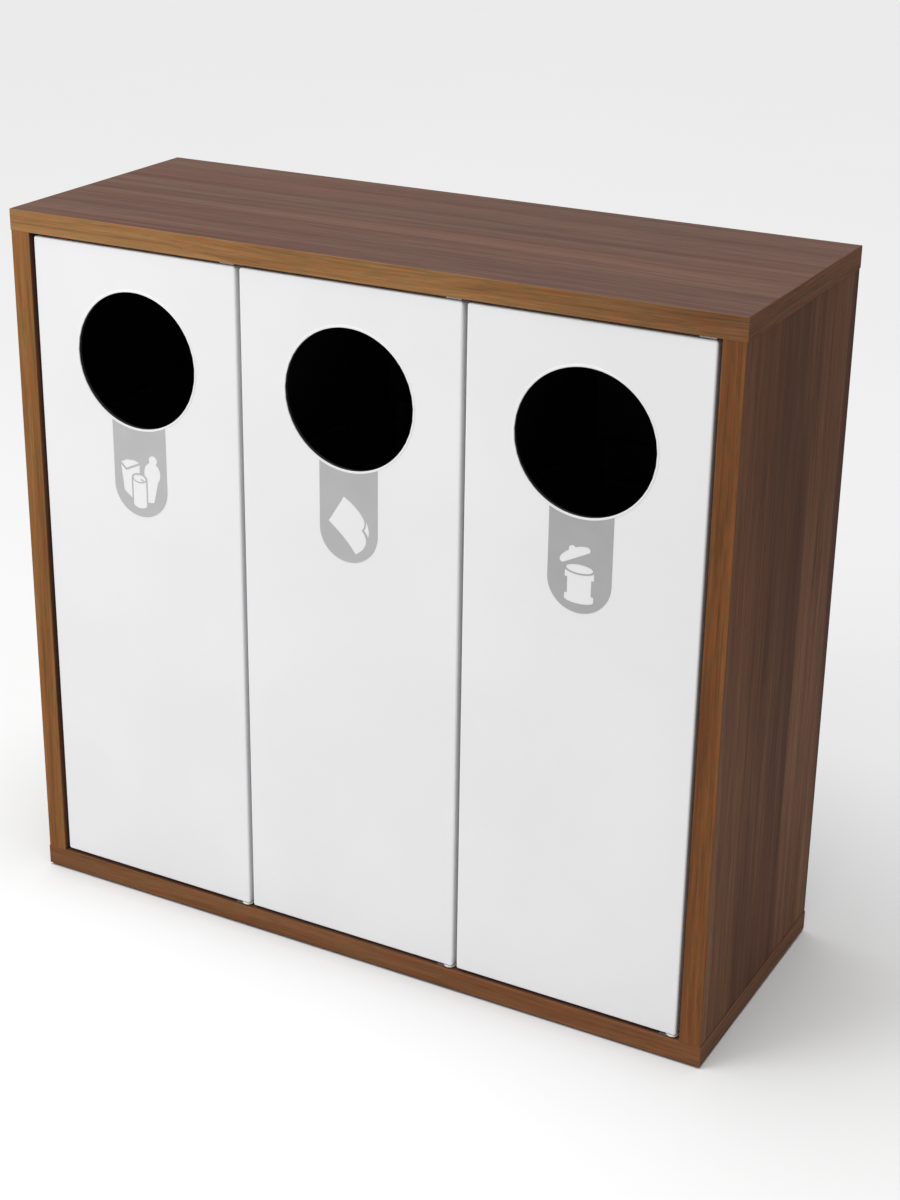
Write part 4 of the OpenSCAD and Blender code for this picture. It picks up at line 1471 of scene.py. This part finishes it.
@dataclass(frozen=True)
class InnerBin:
    """A folded steel bin with a rolled rim and pressed beads, and its wire bail."""

    name: str
    sheet: float = 1.0 * MM
    rim: float = 4.0 * MM
    rim_high: float = 3.0 * MM
    corner: float = 16.0 * MM
    bead: float = 2.2 * MM
    bead_high: float = 9.0 * MM
    bead_drop: float = 46.0 * MM
    bead_round: float = 1.5 * MM
    foot_round: float = 2.0 * MM
    floor_round: float = 1.4 * MM
    rim_rounds: tuple[float, ...] = (0.4 * MM, 1.3 * MM, 1.3 * MM, 0.45 * MM)
    floor_reach: float = 17.0 * MM
    wire_share: float = 0.625
    wire_bend: float = 14.0 * MM
    end_bend: float = 3.2 * MM
    stub_short: float = 8.5 * MM
    head_thick: float = 2.5 * MM
    head_round: float = 0.8 * MM

    def build(self, shop: Workshop) -> None:
        """Makes the bin and its bail."""
        shop.piece(f"{self.name}_bin_shell", self._shell(), BLACK_COAT, f"{self.name}_bin")
        shop.piece(f"{self.name}_bail_wire", self._bail(), BLACK_COAT, f"{self.name}_bail")

    def _shell(self) -> Surface:
        """The wall's section carried round the bin, with a flat floor outside and inside.

        The section goes up the outside, out over two pressed beads, round the rolled rim and
        down the inside, where the beads show as grooves.

        Returns:
            The bin as one closed surface.
        """
        low, high = box_of(f"{self.name}_bin")
        r, t, b = self.rim, self.sheet, self.bead
        z0, z1 = low[2], high[2]
        outline = Outline((low[0], low[1]), (high[0], high[1]), self.corner, corner_steps=8)
        corners: list[tuple[float, float]] = [(self.floor_reach, z0), (r, z0)]
        radii = [self.foot_round]
        beads = [z0 + self.bead_drop, z1 - self.bead_drop - self.bead_high]
        for z in beads:
            end = z + self.bead_high
            corners += [(r, z), (r - b, z + b), (r - b, end - b), (r, end)]
            radii += [self.bead_round] * 4
        corners += [(r, z1 - self.rim_high), (0, z1 - self.rim_high), (0, z1), (r + t, z1)]
        radii += self.rim_rounds
        for z in reversed(beads):
            end = z + self.bead_high
            corners += [(r + t, end), (r + t - b, end - b), (r + t - b, z + b), (r + t, z)]
            radii += [self.bead_round] * 4
        corners += [(r + t, z0 + t), (self.floor_reach, z0 + t)]
        radii += [self.floor_round]
        profile, normals = rounded(corners, radii, 3)
        points, ways = carried(outline, Plane.LEVEL, profile, normals)
        return grid(points, ways, False, True)

    def _bail(self) -> Surface:
        """A wire with four bends, and a flattened head at each end inside the lugs.

        Returns:
            The wire and its two heads, as three closed shells.
        """
        low, high = box_of(f"{self.name}_bail")
        head = (high[2] - low[2]) / 2
        wire = head * self.wire_share
        middle_x = (low[0] + high[0]) / 2
        z = (low[2] + high[2]) / 2
        arm = (high[0] - low[0]) / 2 - wire
        back = high[1] - head
        front = low[1] + wire
        stub = arm - self.stub_short
        corners = [(-stub, back), (-arm, back), (-arm, front), (arm, front), (arm, back),
                   (stub, back)]
        bends = [self.end_bend, self.wire_bend, self.wire_bend, self.end_bend]
        flat, _ = rounded(corners, bends, 8)
        path = np.column_stack([flat[:, 0] + middle_x, flat[:, 1], np.full(len(flat), z)])
        wire_shell = tube(path, wire, (0, 0, 1), 16)
        thick = self.head_thick
        profile, normals = rounded([(0, 0), (head, 0), (head, thick), (0, thick)],
                                   [self.head_round] * 2, 4)
        heads = [
            turned((middle_x + s * stub, back, z), (s, 0, 0), profile, normals, 24) for s in (-1, 1)
        ]
        return together([wire_shell, *heads])


@dataclass(frozen=True)
class Feet:
    """Four levelling feet: a round pad with a rounded rim, under a threaded stem."""

    stem: float = 4.0 * MM
    thread: float = 0.35 * MM
    pitch: float = 1.25 * MM
    pad_thick: float = 2.7 * MM
    pad_round: float = 0.8 * MM
    neck_round: float = 0.3 * MM
    crest_round: float = 0.05 * MM
    end_round: float = 0.4 * MM

    def build(self, shop: Workshop) -> None:
        """Makes the four feet."""
        for node in ("front_left_foot", "front_right_foot", "back_left_foot", "back_right_foot"):
            shop.piece(f"{node}_moulding", self._foot(node), BLACK_PLASTIC, node)

    def _foot(self, node: str) -> Surface:
        """The pad and stem turned about one axis, with rings for the thread.

        Args:
            node: the foot's CAD node.

        Returns:
            The foot as one closed surface.
        """
        low, high = box_of(node)
        middle = ((low[0] + high[0]) / 2, (low[1] + high[1]) / 2, low[2])
        pad = (high[0] - low[0]) / 2
        thick = self.pad_thick
        tall = high[2] - low[2]
        corners = [(0, 0), (pad, 0), (pad, thick), (self.stem, thick)]
        radii = [self.pad_round, self.pad_round, self.neck_round]
        height = thick + self.pitch
        while height + self.pitch < tall:
            corners += [(self.stem, height), (self.stem - self.thread, height + self.pitch / 2)]
            radii += [self.crest_round] * 2
            height += self.pitch
        corners += [(self.stem, height), (self.stem, tall), (0, tall)]
        radii += [self.crest_round, self.end_round]
        profile, normals = rounded(corners, radii, 2)
        return turned(middle, (0, 0, 1), profile, normals, 32)


# ---------------------------------------------------------------- studio


@dataclass(frozen=True)
class Softbox:
    """A rectangular area light that looks at a point."""

    name: str
    place: Point
    aim: Point
    size: tuple[float, float]
    watts: float

    def build(self) -> None:
        """Hangs the light and turns it to its aim."""
        data = bpy.data.lights.new(self.name, "AREA")
        data.shape = "RECTANGLE"
        data.size, data.size_y = self.size
        data.energy = self.watts
        hang(self.name, data, self.place, self.aim)


@dataclass(frozen=True)
class Skylight:
    """A very soft sun, which lights the floor evenly however far away it is."""

    name: str
    place: Point
    strength: float
    spread: float = math.radians(50)

    def build(self) -> None:
        """Turns the sun towards the object from its place."""
        data = bpy.data.lights.new(self.name, "SUN")
        data.energy = self.strength
        data.angle = self.spread
        hang(self.name, data, self.place, (0.0, 0.0, 0.0))


def hang(name: str, data: bpy.types.Light, place: Point, aim: Point) -> None:
    """Puts a light in the scene, out of the camera's sight, looking from its place to its aim.

    Args:
        name: the light's name.
        data: its kind, size and strength.
        place: where it hangs.
        aim: the point that it looks at.
    """
    lamp = bpy.data.objects.new(name, data)
    bpy.context.scene.collection.objects.link(lamp)
    lamp.location = place
    lamp.visible_camera = False
    lamp.rotation_euler = (Vector(aim) - Vector(place)).to_track_quat("-Z", "Y").to_euler()


@dataclass(frozen=True)
class Studio:
    """The camera, a pale floor, a white surround and soft lights."""

    eye: Point = (1.1575, -2.0930, 1.4268)
    forward: Point = (-0.4549, 0.8068, -0.3771)
    right: Point = (0.8700, 0.4931, 0.0055)
    lens: float = 65.51
    shift: tuple[float, float] = (0.0384, -0.0306)
    sight: float = 100.0
    floor_size: float = 60.0
    floor_pale: float = 0.68
    floor_dull: float = 0.66
    floor_rough: float = 0.85
    surround: float = 0.38
    backdrop: float = 0.84
    lights: tuple[Softbox | Skylight, ...] = (
        Softbox("key", (-1.4, -1.9, 2.3), (-0.1, -0.1, 0.7), (1.5, 1.5), 34.0),
        Skylight("over", (-0.08, -0.12, 1.0), 2.75),
    )

    def build(self) -> None:
        """Sets the camera first, then the floor, the surround and the lights."""
        self._camera()
        self._floor()
        self._surround()
        for light in self.lights:
            light.build()
        bpy.context.scene.view_settings.view_transform = "Standard"

    def _camera(self) -> None:
        """A camera whose axes are the given right and forward directions."""
        data = bpy.data.cameras.new("camera")
        data.lens = self.lens
        data.shift_x, data.shift_y = self.shift
        data.clip_end = self.sight
        camera = bpy.data.objects.new("camera", data)
        bpy.context.scene.collection.objects.link(camera)
        forward, right = Vector(self.forward).normalized(), Vector(self.right).normalized()
        up = right.cross(forward).normalized()
        right = forward.cross(up)
        turn = Matrix((right, up, -forward)).transposed().to_4x4()
        camera.matrix_world = Matrix.Translation(self.eye) @ turn
        bpy.context.scene.camera = camera

    def _floor(self) -> None:
        """A plain pale floor."""
        half = self.floor_size / 2
        mesh = bpy.data.meshes.new("floor")
        corners = [(-half, -half, 0), (half, -half, 0), (half, half, 0), (-half, half, 0)]
        mesh.from_pydata(corners, [], [(0, 1, 2, 3)])
        g = Graph("floor_paint")
        cloud = g.noise(g.place(), 0.8, 2.0)
        pale = g.mix((self.floor_dull,) * 3, (self.floor_pale,) * 3, cloud)
        mesh.materials.append(g.finish({"Base Color": pale, "Roughness": self.floor_rough}))
        floor = bpy.data.objects.new("floor", mesh)
        bpy.context.scene.collection.objects.link(floor)

    def _surround(self) -> None:
        """An even white surround that is seen brighter than it lights the cabinet."""
        world = bpy.data.worlds.new("surround")
        world.use_nodes = True
        nodes, links = world.node_tree.nodes, world.node_tree.links
        nodes.clear()
        mixed, sight = nodes.new("ShaderNodeMixShader"), nodes.new("ShaderNodeLightPath")
        links.new(sight.outputs["Is Camera Ray"], mixed.inputs[0])
        for place, strength in ((1, self.surround), (2, self.backdrop)):
            light = nodes.new("ShaderNodeBackground")
            light.inputs["Color"].default_value = (1.0, 1.0, 1.0, 1.0)
            light.inputs["Strength"].default_value = strength
            links.new(light.outputs[0], mixed.inputs[place])
        output = nodes.new("ShaderNodeOutputWorld")
        links.new(mixed.outputs[0], output.inputs["Surface"])
        bpy.context.scene.world = world


def main() -> None:
    logging.basicConfig(level=logging.INFO, format="%(name)s: %(message)s")
    Studio().build()
    shop = Workshop()
    Cabinet().build(shop)
    Fittings().build(shop)
    for name, film in zip(DOOR_NAMES, LABEL_FILMS_WITH_PAINTED_FALLOFF):
        Door(name, film).build(shop)
        InnerBin(name).build(shop)
    shop.dress("bail_lugs", BLACK_COAT)
    Feet().build(shop)


if __name__ == "__main__":
    main()
